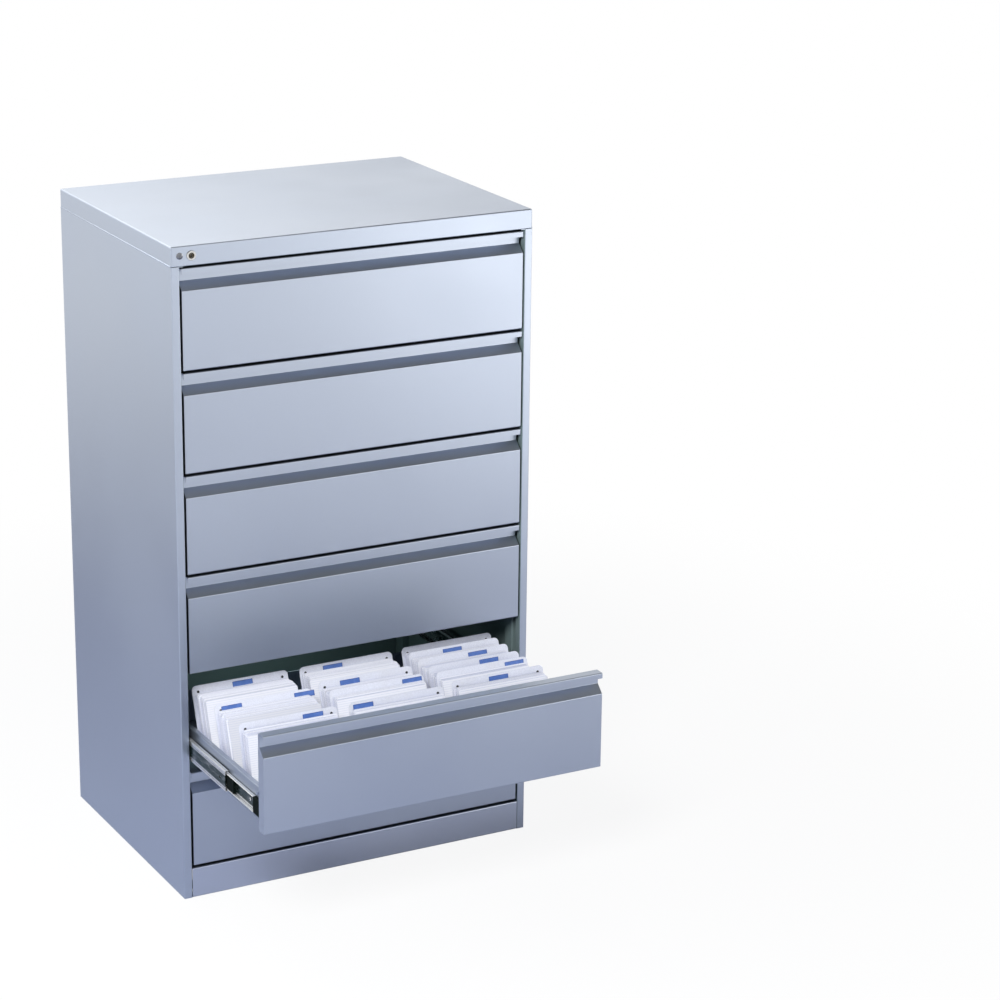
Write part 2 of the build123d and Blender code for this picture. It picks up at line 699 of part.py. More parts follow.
def middle_member():
    """Channel that travels between the other two, with a groove along each edge of its web."""
    y_range = (SLIDE_START, SLIDE_END)
    height = race_levels()[1]
    member = slotted_channel(middle_web(), RACE_LIP - RACE_HOOK, height, y_range)
    outer = OPENING_HALF - middle_web() + SLIDE_SHEET / 2
    level = height - GROOVE_FROM_EDGE
    for middle in (SLIDE_LEVEL + level, SLIDE_LEVEL - level):
        across = (middle - GROOVE_WIDTH / 2, middle + GROOVE_WIDTH / 2)
        member -= slab((outer - GROOVE_DEPTH, OPENING_HALF), y_range, across)
    return member


def drawer_member():
    """Inner channel, fixed to the side of the tray behind its end buffer."""
    web = SLIDE_WIDTH - SLIDE_SHEET / 2
    y_range = (buffer_range()[1], SLIDE_END)
    return slotted_channel(web, drawer_lip(), race_levels()[2], y_range)


def ball_cage(web, ball_u, height, y_range):
    """Cage between two members: a strip along the web and a ball row in each race."""
    points = [(ball_u, height), (web, height), (web, -height), (ball_u, -height)]
    cage = slide_length(points, y_range, SLIDE_BEND, CAGE_SHEET)
    for level in (height, -height):
        cage += rod((OPENING_HALF - ball_u, SLIDE_LEVEL + level), BALL / 2, y_range)
    return cage


def ball_cages():
    """Outer cage, which stays in the cabinet member, and inner cage, in the drawer member."""
    cabinet, middle, drawer = race_levels()
    outer_web = SLIDE_SHEET + CAGE_GAP + CAGE_SHEET / 2
    inner_web = middle_web() + SLIDE_SHEET / 2 + CAGE_GAP + CAGE_SHEET / 2
    outer_ball = cabinet_lip() - BALL / 2 - CAGE_GAP
    inner_ball = drawer_lip() + BALL / 2 - CAGE_GAP
    outer_start = SLIDE_START + MIDDLE_SHARE * TRAVEL + CAGE_END
    inner_end = SLIDE_END - (1 - MIDDLE_SHARE) * TRAVEL - CAGE_END
    outer_range = (outer_start, SLIDE_END - CAGE_END)
    inner_range = (SLIDE_START + CAGE_END, inner_end)
    return [
        ball_cage(outer_web, outer_ball, (cabinet + middle) / 2, outer_range),
        ball_cage(inner_web, inner_ball, (middle + drawer) / 2, inner_range),
    ]


def buffer_range():
    """Where the end buffer of the drawer member starts and ends."""
    start = FRONT_DEPTH + BUFFER_BEHIND_FRONT
    return start, start + BUFFER_LENGTH


def slide_latches():
    """Plastic end buffer and release lever inside the drawer member."""
    half = race_levels()[2] + SLIDE_SHEET / 2
    tray_side = OPENING_HALF - SLIDE_WIDTH
    shallow = OPENING_HALF - cage_reach(middle_web()) - CAGE_GAP
    buffer = slab(
        (tray_side, shallow),
        buffer_range(),
        (SLIDE_LEVEL - half, SLIDE_LEVEL + half),
    )
    buffer = chamfer(buffer.edges().filter_by(Axis.Y), CAGE_GAP * 4)
    web_face = tray_side + SLIDE_SHEET
    lever_end = LEVER_START + LEVER_LENGTH
    lever = slab(
        (web_face, shallow),
        (LEVER_START + LEVER_FINGER, lever_end),
        (SLIDE_LEVEL - LEVER_HEIGHT / 2, SLIDE_LEVEL + LEVER_HEIGHT / 2),
    )
    lever += slab(
        (web_face, (web_face + shallow) / 2),
        (LEVER_START - LEVER_FINGER, LEVER_START + LEVER_FINGER),
        (SLIDE_LEVEL - LEVER_FINGER / 2, SLIDE_LEVEL + LEVER_FINGER / 2),
    )
    return [buffer, lever]


# ---- Contents of the open drawer ----
def row_lean(top_y):
    """Lean of the cards from upright, in degrees; the group by the front stands steeper."""
    return FRONT_CARD_LEAN if top_y < FRONT_GROUP_BEFORE else CARD_LEAN


def leaning(shape, lean, x, foot_y):
    """Stand a flat piece, drawn upright with its foot at zero, on the tray floor."""
    return Pos(x, foot_y, TRAY_FLOOR) * Rot(-lean, 0, 0) * shape


def guide_foot(top_y):
    """Local Y of a guide's foot, from the place of its top edge."""
    return top_y - GUIDE_HEIGHT * math.sin(math.radians(row_lean(top_y)))


def card_guide(punched):
    """Guide sheet with rounded top corners, punched near them if asked."""
    outline = Pos(0, GUIDE_HEIGHT / 2) * Rectangle(GUIDE_WIDTH, GUIDE_HEIGHT)
    outline = fillet(outline.vertices().group_by(Axis.Y)[-1], GUIDE_CORNER)
    if punched:
        x = GUIDE_WIDTH / 2 - GUIDE_HOLE_INSET
        y = GUIDE_HEIGHT - GUIDE_HOLE_INSET
        for side in (-1, 1):
            outline -= Pos(side * x, y) * Circle(GUIDE_HOLE_RADIUS)
    return extrude(Plane.XZ * outline, GUIDE_SHEET)


def card_pack(depth, lean):
    """Cards standing together as one leaning block, with its foot and top level."""
    shift = CARD_HEIGHT * math.sin(math.radians(lean))
    rise = CARD_HEIGHT * math.cos(math.radians(lean))
    corners = [(0, 0), (shift, rise), (shift - depth, rise), (-depth, 0)]
    section = make_face(Polyline(*corners, close=True))
    return Pos(-CARD_WIDTH / 2, 0, 0) * extrude(Plane.YZ * section, CARD_WIDTH)


def label_tab():
    """Coloured tab on the front of a guide, below its top edge."""
    low = GUIDE_HEIGHT - TAB_BELOW_TOP - TAB_HEIGHT
    front = -GUIDE_SHEET - TAB_SHEET
    return slab((-TAB_WIDTH / 2, TAB_WIDTH / 2), (front, -GUIDE_SHEET), (low, low + TAB_HEIGHT))


def drawer_contents():
    """Guides, card packs and tabs of all the rows, in the drawer's own frame."""
    guides = []
    packs = []
    tabs = []
    for row, groups in enumerate(CARD_ROWS):
        x = (row - 1) * LANE_PITCH
        for top_y, punched, tab_shares, depth in groups:
            lean = row_lean(top_y)
            foot_y = guide_foot(top_y)
            guides.append(leaning(card_guide(punched), lean, x, foot_y))
            sheet_run = (GUIDE_SHEET + TAB_SHEET) / math.cos(math.radians(lean))
            pack_y = foot_y - sheet_run - FIT_CLEARANCE
            packs.append(Pos(x, pack_y, TRAY_FLOOR) * card_pack(depth - sheet_run, lean))
            for share in tab_shares:
                tabs.append(leaning(label_tab(), lean, x + share * GUIDE_WIDTH, foot_y))
    return guides, packs, tabs


# ---- Assembly ----
def write_carcass():
    """Every piece that stays with the carcass, except the lock."""
    panel = side_panel()
    left = mirror(panel, Plane.YZ)
    for hole in rivet_holes():
        panel -= hole
        left -= hole
    write("side_panel_right", panel)
    write("side_panel_left", left - bar_slot())
    write("back_panel", back_panel())
    write("top_cover", top_cover())
    write("base_pan", base_pan())
    write("plinth", plinth())
    uprights = both_sides(upright(FRONT_UPRIGHT)) + both_sides(upright(REAR_UPRIGHT))
    write("slide_uprights", *uprights)
    member = cabinet_member()
    levels = [front_level(number) for number in range(1, DRAWER_COUNT + 1)]
    members = [Pos(0, FRONT_PLANE, level) * side for level in levels for side in both_sides(member)]
    write("slide_cabinet_members", *members)
    write("levelling_feet", *[Pos(x, y, 0) * levelling_foot() for x, y in foot_places()])
    write("panel_rivets", *[Pos(x, 0, z) * rivet() for x, z in rivet_places()])


def write_lock():
    """The lock, its cam, the bar that it lifts and the cap beside it."""
    write("lock_housing", lock_housing())
    write("lock_core", lock_core())
    write("lock_cam", lock_cam())
    write("locking_bar", locking_bar())
    write("blanking_cap", blanking_cap())


def write_drawers():
    """Six drawers with their slides, each piece a node of its own."""
    moving = {
        "front": [drawer_front()],
        "tray": [tray()],
        "lane_dividers": both_sides(lane_divider()),
        "drawer_members": both_sides(drawer_member()),
        "slide_latches": [side for piece in slide_latches() for side in both_sides(piece)],
    }
    half_way = {
        "middle_members": both_sides(middle_member()),
        "ball_cages": [side for piece in ball_cages() for side in both_sides(piece)],
    }
    for number in range(1, DRAWER_COUNT + 1):
        opening = REST_OPENING if number == OPEN_DRAWER else 0.0
        level = front_level(number)
        for group, share in ((moving, 1.0), (half_way, MIDDLE_SHARE)):
            place = Pos(0, FRONT_PLANE - share * opening, level)
            for name, pieces in group.items():
                write(f"drawer_{number}_{name}", *[place * piece for piece in pieces])


def write_contents():
    """Cards, guides and tabs in the drawer that stands open."""
    place = Pos(0, FRONT_PLANE - REST_OPENING, front_level(OPEN_DRAWER))
    guides, packs, tabs = drawer_contents()
    write("card_guides", *[place * piece for piece in guides])
    write("index_cards", *[place * piece for piece in packs])
    write("label_tabs", *[place * piece for piece in tabs])


os.makedirs("parts", exist_ok=True)
write_carcass()
write_lock()
write_drawers()
write_contents()
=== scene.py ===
"""Looks of a card-index filing cabinet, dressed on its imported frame.

The file is laid out as an add-on. Property groups hold the sizes and colours that can be changed,
one operator makes each piece or group of like pieces, and a panel in the sidebar lists them. Run as
a script, main() registers the classes and calls the operators in order. Lengths are in metres.
"""
import math
import random

import bmesh
import bpy
from bpy.props import FloatProperty, FloatVectorProperty, IntProperty, PointerProperty
from mathutils import Matrix, Vector


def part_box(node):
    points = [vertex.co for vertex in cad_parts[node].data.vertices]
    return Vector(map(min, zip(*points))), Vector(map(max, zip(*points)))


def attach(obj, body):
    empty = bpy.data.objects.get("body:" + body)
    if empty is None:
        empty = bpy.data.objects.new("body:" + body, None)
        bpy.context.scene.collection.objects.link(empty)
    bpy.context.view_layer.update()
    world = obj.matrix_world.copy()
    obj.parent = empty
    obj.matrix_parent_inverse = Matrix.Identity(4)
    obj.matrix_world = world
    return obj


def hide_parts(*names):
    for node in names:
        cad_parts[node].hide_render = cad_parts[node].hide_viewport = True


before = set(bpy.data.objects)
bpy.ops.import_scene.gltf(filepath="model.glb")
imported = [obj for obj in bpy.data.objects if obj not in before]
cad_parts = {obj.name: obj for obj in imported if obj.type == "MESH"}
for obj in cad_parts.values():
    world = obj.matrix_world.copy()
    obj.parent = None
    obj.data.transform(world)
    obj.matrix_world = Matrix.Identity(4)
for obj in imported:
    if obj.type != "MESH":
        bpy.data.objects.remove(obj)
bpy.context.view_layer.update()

bl_info = {
    "name": "Card-index cabinet",
    "version": (1, 0, 0),
    "blender": (4, 5, 0),
    "location": "View3D > Sidebar > Cabinet",
    "description": "Enamel, zinc, cards and a studio for a card-index filing cabinet",
    "category": "Object",
}

DRAWERS = range(1, 7)
OPEN_DRAWER = "drawer_5"
PANELS = ("side_panel_left", "side_panel_right", "back_panel")
INNER_NODES = ("slide_uprights", "base_pan")
MERGE_GAP = 1e-6
SLIDE_SHEET = 0.0012
CORNER_STEPS = 3
FIBRE_DEPTH = 0.00002

WHITE = (1, 1, 1, 1)
# Near-black colour of the painted shade in gaps
GAP_SHADE = (0.012, 0.02, 0.018, 1)
DUST = (0.62, 0.62, 0.60, 1)
BARE_METAL = (0.93, 0.93, 0.94, 1)
# Dark teal of the painted shade in the slides' channels and webs and in the lock's hollows
HOLLOW_SHADE = (0.02, 0.045, 0.045, 1)
ROW_SHADE = (0.27, 0.30, 0.46, 1)
SOIL = (0.62, 0.60, 0.56, 1)
SEEN_FLOOR = (0.95, 0.95, 0.95, 1)


def colour(name, description, default):
    """A colour property."""
    return FloatVectorProperty(
        name=name, description=description, subtype="COLOR", size=3, min=0, max=1, default=default
    )


def setting(name, description, default, **kind):
    """A property that holds a number of some kind."""
    return FloatProperty(name=name, description=description, default=default, **kind)


def amount(*words):
    """A property of 0 or more, from its name, description and default."""
    return setting(*words, min=0)


def length(*words):
    """A length property, from the same."""
    return setting(*words, min=0, unit="LENGTH")


def share(*words):
    """A property from 0 to 1, from the same."""
    return setting(*words, min=0, max=1, subtype="FACTOR")


def angle(*words):
    """An angle property, from the same."""
    return setting(*words, subtype="ANGLE")


class CABINET_PG_enamel(bpy.types.PropertyGroup):
    """Colours and finish of the stoved enamel"""

    carcass: colour("Carcass", "Enamel of the panels and the cover", (0.58, 0.64, 0.74))
    fronts: colour("Fronts", "Enamel of the drawer fronts", (0.56, 0.615, 0.71))
    # Painted light: the plinth has a lighter copy of the carcass enamel, to brighten the dim plinth
    plinth: colour("Plinth", "Enamel of the kick plate", (0.66, 0.71, 0.82))
    inside: colour("Inside", "Enamel of the pan, uprights and inner faces", (0.16, 0.215, 0.215))
    trays: colour("Trays", "Enamel of the trays and dividers", (0.40, 0.45, 0.54))
    flake_size: length("Flake size", "Size of the metallic flakes", 0.0011)
    peel_size: length("Peel size", "Size of the ripples in the enamel", 0.006)
    peel_depth: length("Peel depth", "Height of the ripples in the enamel", 0.00003)
    gloss: share("Gloss", "Share of the clear coat", 0.18)
    metal: share("Metal", "How metallic the flakes look", 0.96)
    roughness: share("Roughness", "Roughness of the enamel", 0.36)
    hem_radius: length("Hem radius", "Radius of the hems along the cover's sides", 0.0016)
    # Painted highlight: how wide the lighter band painted along folds is
    edge_width: length("Edge width", "How far a fold catches the light", 0.0010)
    # Painted shade: how far the darkening reaches out of a gap
    gap_depth: length("Gap depth", "How far dust and shade reach out of a gap", 0.012)


class CABINET_PG_metal(bpy.types.PropertyGroup):
    """Colours and sizes of the slides and the lock"""

    zinc: colour("Zinc", "Bright zinc of the slides", (0.74, 0.75, 0.77))
    nickel: colour("Nickel", "Satin nickel of the lock", (0.9, 0.9, 0.88))
    cap: colour("Cap", "Dull nickel of the blanking cap", (0.27, 0.28, 0.31))
    # Partly dull brass and partly painted shade: the core is nearly black to stand for the shade in
    # its keyway
    brass: colour("Brass", "Dull brass of the lock's core", (0.09, 0.075, 0.05))
    ball: colour("Balls", "Hardened steel of the balls", (0.62, 0.63, 0.65))
    plastic: colour("Plastic", "Buffers, levers and feet", (0.004, 0.007, 0.006))
    zinc_roughness: share("Zinc roughness", "Roughness of the zinc", 0.26)
    lip: length("Lip", "Height of the bright lips along a slide", 0.0045)
    screw_inset: length("Screw inset", "From a slide's end to its first screw", 0.026)
    ball_radius: length("Ball radius", "Radius of the slide balls", 0.0018)
    ball_pitch: length("Ball pitch", "Distance from ball to ball", 0.014)
    cage_sheet: length("Cage sheet", "Sheet of the ball cages", 0.0005)
    screw_radius: length("Screw radius", "Radius of the screw heads", 0.0036)
    screw_height: length("Screw height", "Height of the screw heads", 0.0019)
    screws: IntProperty(name="Screws", description="Screws in each drawer member", min=2, default=4)


class CABINET_PG_cards(bpy.types.PropertyGroup):
    """Sizes and colours of the cards, guides and tabs"""

    paper: colour("Paper", "Card stock", (0.84, 0.85, 0.90))
    ruling: colour("Ruling", "Ruled lines on the cards", (0.36, 0.41, 0.60))
    board: colour("Board", "Guide board", (0.76, 0.78, 0.86))
    tab: colour("Tab", "Plastic of the tabs", (0.03, 0.09, 0.30))
    tab_slip: colour("Tab slip", "Paper slip in a tab", (0.075, 0.155, 0.43))
    pitch: length("Pitch", "Distance from card to card", 0.00085)
    thickness: length("Thickness", "Thickness of one card", 0.0005)
    corner: length("Corner", "Radius of a card's corners", 0.004)
    hole_inset: length("Hole inset", "From a guide's edges to its punched holes", 0.013)
    hole_radius: length("Hole radius", "Radius of the punched holes", 0.0025)
    eyelet_head: length("Eyelet head", "Thickness of an eyelet's head", 0.0004)
    tab_sheet: length("Tab sheet", "Thickness of a tab", 0.0006)
    tab_corner: length("Tab corner", "Radius of a tab's corners", 0.0012)
    tab_rim: length("Tab rim", "Width of the raised frame of a tab", 0.0011)
    unevenness: length("Unevenness", "How far cards stand out of line", 0.0026)
    bundle: IntProperty(name="Bundle", description="Most cards in line", min=2, default=9)
    ruling_pitch: length("Ruling pitch", "Distance between ruled lines", 0.0045)
    ruling_width: length("Ruling width", "Width of a ruled line", 0.0009)
    seed: IntProperty(name="Seed", description="Seed of the cards' unevenness", default=5)


class CABINET_PG_studio(bpy.types.PropertyGroup):
    """Camera, lamps and floor"""

    heading: angle("Heading", "Turn of the camera to the right", 0.50055)
    tilt: angle("Tilt", "Downward tilt", 0.31208)
    roll: angle("Roll", "Roll of the camera", 0.01188)
    place: FloatVectorProperty(
        name="Place", description="Where the camera stands", subtype="TRANSLATION", unit="LENGTH",
        default=(-2.53648, -5.52795, 2.67426),
    )
    lens: amount("Lens", "Focal length in millimetres", 109.156)
    sensor: amount("Sensor", "Sensor width in millimetres", 36.0)
    floor: colour("Floor", "Pale floor", (0.34, 0.37, 0.48))
    sky: colour("Sky", "Colour of the soft light all round", (0.58, 0.68, 1.0))
    sky_level: amount("Sky level", "Level of the soft light", 0.25)
    ceiling: share("Ceiling", "Level of the ceiling that the enamel mirrors", 0.125)
    floor_radius: length("Floor radius", "Radius of the floor", 24.0)
    floor_glow: share("Floor glow", "How far the floor shows white beside the cabinet", 0.9)
    glow_from: length("Glow from", "Where the floor starts to turn fully white", 0.8)
    glow_to: length("Glow to", "Where the floor is fully white", 2.4)
    # Painted light: how the floor glows in mirrors, dim beside the cabinet and bright farther off
    floor_mirror: share("Floor mirror", "How far the far floor is white in a mirror", 0.8)
    floor_dim: share("Floor dim", "Share of that on the floor beside the cabinet", 0.11)
    lit_from: length("Lit from", "Where the floor starts to brighten, from the middle", 1.2)
    lit_to: length("Lit to", "Where the floor is fully bright", 5.1)


# ---- Node helpers ----
def feed(tree, value, socket):
    """Fills a socket by a link where the value is a socket, and otherwise by the value."""
    if isinstance(value, bpy.types.NodeSocket):
        tree.links.new(value, socket)
    else:
        socket.default_value = value


def add(tree, kind, inputs=None, **settings):
    """Adds a node, with its own settings and its sockets filled by values or links."""
    made = tree.nodes.new(kind)
    for name, value in settings.items():
        setattr(made, name, value)
    for name, value in (inputs or {}).items():
        feed(tree, value, made.inputs[name])
    return made


def opaque(rgb, factor=1.0, lift=0.0):
    """A colour with full alpha, multiplied by a factor and lifted."""
    return (*(min(1.0, channel * factor + lift) for channel in rgb), 1.0)


def arithmetic(tree, operation, *values, clamp=False):
    """Result socket of a sum on values."""
    inputs = dict(enumerate(values))
    made = add(tree, "ShaderNodeMath", inputs, operation=operation, use_clamp=clamp)
    return made.outputs[0]


def product(tree, *values):
    """Result socket of one value multiplied by another."""
    return arithmetic(tree, "MULTIPLY", *values)


def greater(tree, *values):
    """Result socket of the greater of two values."""
    return arithmetic(tree, "MAXIMUM", *values)


def between(tree, value, low, high, to_low=0.0, to_high=1.0):
    """Result socket of a value moved smoothly from one range to another."""
    inputs = {"From Min": low, "From Max": high, "To Min": to_low, "To Max": to_high}
    inputs["Value"] = value
    made = add(tree, "ShaderNodeMapRange", inputs, interpolation_type="SMOOTHSTEP")
    return made.outputs["Result"]


def blended(tree, factor, first, second, blend="MIX"):
    """Result socket of two colours blended by a factor."""
    made = add(tree, "ShaderNodeMix", {"Factor": factor}, data_type="RGBA", blend_type=blend)
    sockets = [socket for socket in made.inputs if socket.type == "RGBA"]
    for socket, value in zip(sockets, (first, second)):
        feed(tree, value, socket)
    return next(socket for socket in made.outputs if socket.type == "RGBA")


def in_object(tree):
    """Place of a point in the object's own space."""
    return add(tree, "ShaderNodeTexCoord").outputs["Object"]


def surface(tree, what):
    """A property of the surface, such as its Normal."""
    return add(tree, "ShaderNodeNewGeometry").outputs[what]


def along(tree, vector, axis):
    """One axis of a vector."""
    return add(tree, "ShaderNodeSeparateXYZ", {0: vector}).outputs[axis]


def scaled(tree, vector, factors):
    """A vector multiplied axis by axis."""
    made = add(tree, "ShaderNodeVectorMath", {0: vector, 1: factors}, operation="MULTIPLY")
    return made.outputs["Vector"]


def noise(tree, place, scale, **inputs):
    """Result socket of a noise at a place."""
    made = add(tree, "ShaderNodeTexNoise", {"Vector": place, "Scale": scale, **inputs})
    return made.outputs["Fac"]


def shaded(tree, tone, level):
    """A colour multiplied by a level."""
    grey = add(tree, "ShaderNodeCombineColor", {0: level, 1: level, 2: level}).outputs[0]
    return blended(tree, 1.0, tone, grey, "MULTIPLY")


def ray_kinds(tree):
    """1 for rays from the camera, and 1 for rays that were mirrored or let through."""
    path = add(tree, "ShaderNodeLightPath").outputs
    return path["Is Camera Ray"], greater(tree, path["Is Glossy Ray"], path["Is Transmission Ray"])


# ---- Shared effects ----
def enamel_flakes(tree, given):
    """Metallic flakes and soft clouding over a colour, with the ripples of sprayed enamel."""
    cloud_scale, cloud_share, mean_tone = 2.3, 0.5, 0.75
    place = in_object(tree)
    flakes = noise(tree, place, given["Flake Scale"], Detail=2.0, Roughness=0.7)
    clouds = noise(tree, place, cloud_scale, Detail=3.0)
    peel = noise(tree, place, given["Peel Scale"], Detail=1.5)
    tone = arithmetic(tree, "ADD", flakes, product(tree, clouds, cloud_share))
    tone = arithmetic(tree, "SUBTRACT", tone, mean_tone)
    tone = arithmetic(tree, "MULTIPLY_ADD", tone, given["Strength"], 1.0)
    return {
        "Color": shaded(tree, given["Color"], tone),
        "Roughness Shift": between(tree, clouds, 0.3, 0.7, -0.04, 0.05),
        "Height": peel,
    }


def edge_highlight_and_wear(tree, given):
    """Mask that is 1 on folds and edges and falls off over a width, for painted highlights and for
    wear.
    """
    rounded = add(tree, "ShaderNodeBevel", {"Radius": given["Width"]}, samples=4).outputs["Normal"]
    normals = {0: rounded, 1: surface(tree, "Normal")}
    likeness = add(tree, "ShaderNodeVectorMath", normals, operation="DOT_PRODUCT").outputs["Value"]
    return {"Mask": between(tree, likeness, 0.999, 0.86)}


def painted_gap_shade(tree, given):
    """Mask of painted shade: 0 above the share of open space called open and 1 below the closed
    one.
    """
    reach = {"Distance": given["Reach"]}
    open_share = add(tree, "ShaderNodeAmbientOcclusion", reach, samples=6).outputs["AO"]
    return {"Mask": between(tree, open_share, given["Open Share"], given["Closed Share"])}


def settled_dust(tree, given):
    """Mask of thin dust on what faces up, broken up by patches."""
    patch_scale = 9.0
    facing = between(tree, along(tree, surface(tree, "Normal"), "Z"), 0.6, 1.0)
    patches = noise(tree, in_object(tree), patch_scale, Detail=6.0)
    mask = product(tree, facing, between(tree, patches, 0.35, 0.7, 0.2))
    return {"Mask": arithmetic(tree, "MULTIPLY", mask, given["Amount"], clamp=True)}


def drawn_grain(tree, given):
    """Fine drawn lines along a part, for the Height of a bump and for tone."""
    spangle_scale, spangle_share = 120.0, 0.35
    place = in_object(tree)
    drawn = scaled(tree, place, given["Along"])
    lines = noise(tree, drawn, given["Scale"], Detail=4.0, Roughness=0.65)
    spangle = add(tree, "ShaderNodeTexVoronoi", {"Vector": place, "Scale": spangle_scale})
    spot = add(tree, "ShaderNodeSeparateColor", {0: spangle.outputs["Color"]}).outputs[0]
    tone = arithmetic(tree, "ADD", lines, product(tree, spot, spangle_share))
    return {"Height": lines, "Tone": tone}


EFFECTS = {
    "enamel_flakes": (
        enamel_flakes,
        {"Color": (0.5, 0.5, 0.5, 1), "Flake Scale": 900.0, "Peel Scale": 160.0, "Strength": 0.06},
    ),
    "edge_highlight_and_wear": (edge_highlight_and_wear, {"Width": 0.0015}),
    "painted_gap_shade": (painted_gap_shade, {"Reach": 0.01, "Open Share": 0.42, "Closed Share": 0.12}),
    "settled_dust": (settled_dust, {"Amount": 0.1}),
    "drawn_grain": (drawn_grain, {"Along": (60.0, 3.0, 60.0), "Scale": 14.0}),
}
SOCKETS = {1: "NodeSocketFloat", 3: "NodeSocketVector", 4: "NodeSocketColor"}


def new_group(name):
    """Node group of an effect, with its usual inputs and the outputs that its maker returns."""
    maker, inputs = EFFECTS[name]
    group = bpy.data.node_groups.new(name, "ShaderNodeTree")
    for socket, value in inputs.items():
        kind = SOCKETS[len(value) if isinstance(value, tuple) else 1]
        made = group.interface.new_socket(name=socket, in_out="INPUT", socket_type=kind)
        made.default_value = value
    outputs = maker(group, group.nodes.new("NodeGroupInput").outputs)
    for socket, value in outputs.items():
        kind = SOCKETS[4 if value.type == "RGBA" else 1]
        group.interface.new_socket(name=socket, in_out="OUTPUT", socket_type=kind)
    result = group.nodes.new("NodeGroupOutput")
    for socket, value in outputs.items():
        group.links.new(value, result.inputs[socket])
    return group


def effect(tree, name, **inputs):
    """Outputs of a shared effect placed in a material. In socket names, _ stands for a space."""
    made = tree.nodes.new("ShaderNodeGroup")
    made.node_tree = bpy.data.node_groups.get(name) or new_group(name)
    for socket, value in inputs.items():
        feed(tree, value, made.inputs[socket.replace("_", " ")])
    return made.outputs


# ---- Materials ----
def new_material(name, **constants):
    """A material with one Principled shader, whose constant sockets are set by name."""
    material = bpy.data.materials.new(name)
    material.use_nodes = True
    tree = material.node_tree
    tree.nodes.clear()
    shader = tree.nodes.new("ShaderNodeBsdfPrincipled")
    output = tree.nodes.new("ShaderNodeOutputMaterial")
    tree.links.new(shader.outputs[0], output.inputs["Surface"])
    for socket, value in constants.items():
        shader.inputs[socket.replace("_", " ")].default_value = value
    return material, tree, shader


def finish(tree, shader, tone, rough=None, height=None, depth=0.0):
    """Gives a shader its colour, its roughness and a bump from a height."""
    feed(tree, tone, shader.inputs["Base Color"])
    if rough is not None:
        feed(tree, rough, shader.inputs["Roughness"])
    if height is not None:
        bump = add(tree, "ShaderNodeBump", {"Height": height, "Distance": depth, "Strength": 1.0})
        feed(tree, bump.outputs["Normal"], shader.inputs["Normal"])


def enamel(name, rgb, settings, dust=0.0, metal=None, painted_fold_highlight=0.2):
    """Stoved silver enamel: flakes, ripples, a painted highlight on folds, painted shade in gaps
    and a little dust.
    """
    metal = settings.metal if metal is None else metal
    material, tree, shader = new_material(
        name, Metallic=metal, Coat_Weight=settings.gloss, Coat_Roughness=0.22, IOR=1.5
    )
    deepest_gap_shade, dust_roughness = 0.93, 0.5
    scales = {"Flake_Scale": 1 / settings.flake_size, "Peel_Scale": 1 / settings.peel_size}
    flakes = effect(tree, "enamel_flakes", Color=opaque(rgb), **scales)
    # Painted highlight: folds and edges are painted a lighter copy of the enamel
    folds = effect(tree, "edge_highlight_and_wear", Width=settings.edge_width)["Mask"]
    folds = product(tree, folds, painted_fold_highlight)
    tone = blended(tree, folds, flakes["Color"], opaque(rgb, 1.35, 0.08))
    # Painted shade: gaps found by ambient occlusion are darkened towards near black, less on folds
    gaps = effect(tree, "painted_gap_shade", Reach=settings.gap_depth)["Mask"]
    gap_shade = product(tree, gaps, arithmetic(tree, "SUBTRACT", deepest_gap_shade, folds))
    tone = blended(tree, gap_shade, tone, GAP_SHADE)
    dust_and_shade = effect(tree, "settled_dust", Amount=dust)["Mask"]
    tone = blended(tree, dust_and_shade, tone, DUST)
    rough = arithmetic(tree, "ADD", flakes["Roughness Shift"], settings.roughness)
    rough = arithmetic(tree, "ADD", rough, product(tree, dust_and_shade, dust_roughness), clamp=True)
    finish(tree, shader, tone, rough, flakes["Height"], settings.peel_depth)
    return material


def shaded_web_band(tree, level, pitch, half_web):
    """Mask of painted shade on the web of each slide, from one slide's level, the pitch and half
    the web.
    """
    soft_edge, blotch_scale, least_shade = 0.002, 110.0, 0.72
    place = in_object(tree)
    from_level = arithmetic(tree, "SUBTRACT", along(tree, place, "Z"), level - pitch / 2)
    within = arithmetic(tree, "FLOORED_MODULO", from_level, pitch)
    away = arithmetic(tree, "ABSOLUTE", arithmetic(tree, "SUBTRACT", within, pitch / 2))
    web = between(tree, away, half_web, half_web - soft_edge)
    # Blotches break up the painted shade on the web
    blotches = noise(tree, scaled(tree, place, (1.0, 0.3, 1.0)), blotch_scale, Detail=2.0)
    return product(tree, web, between(tree, blotches, 0.45, 0.75, 1.0, least_shade))


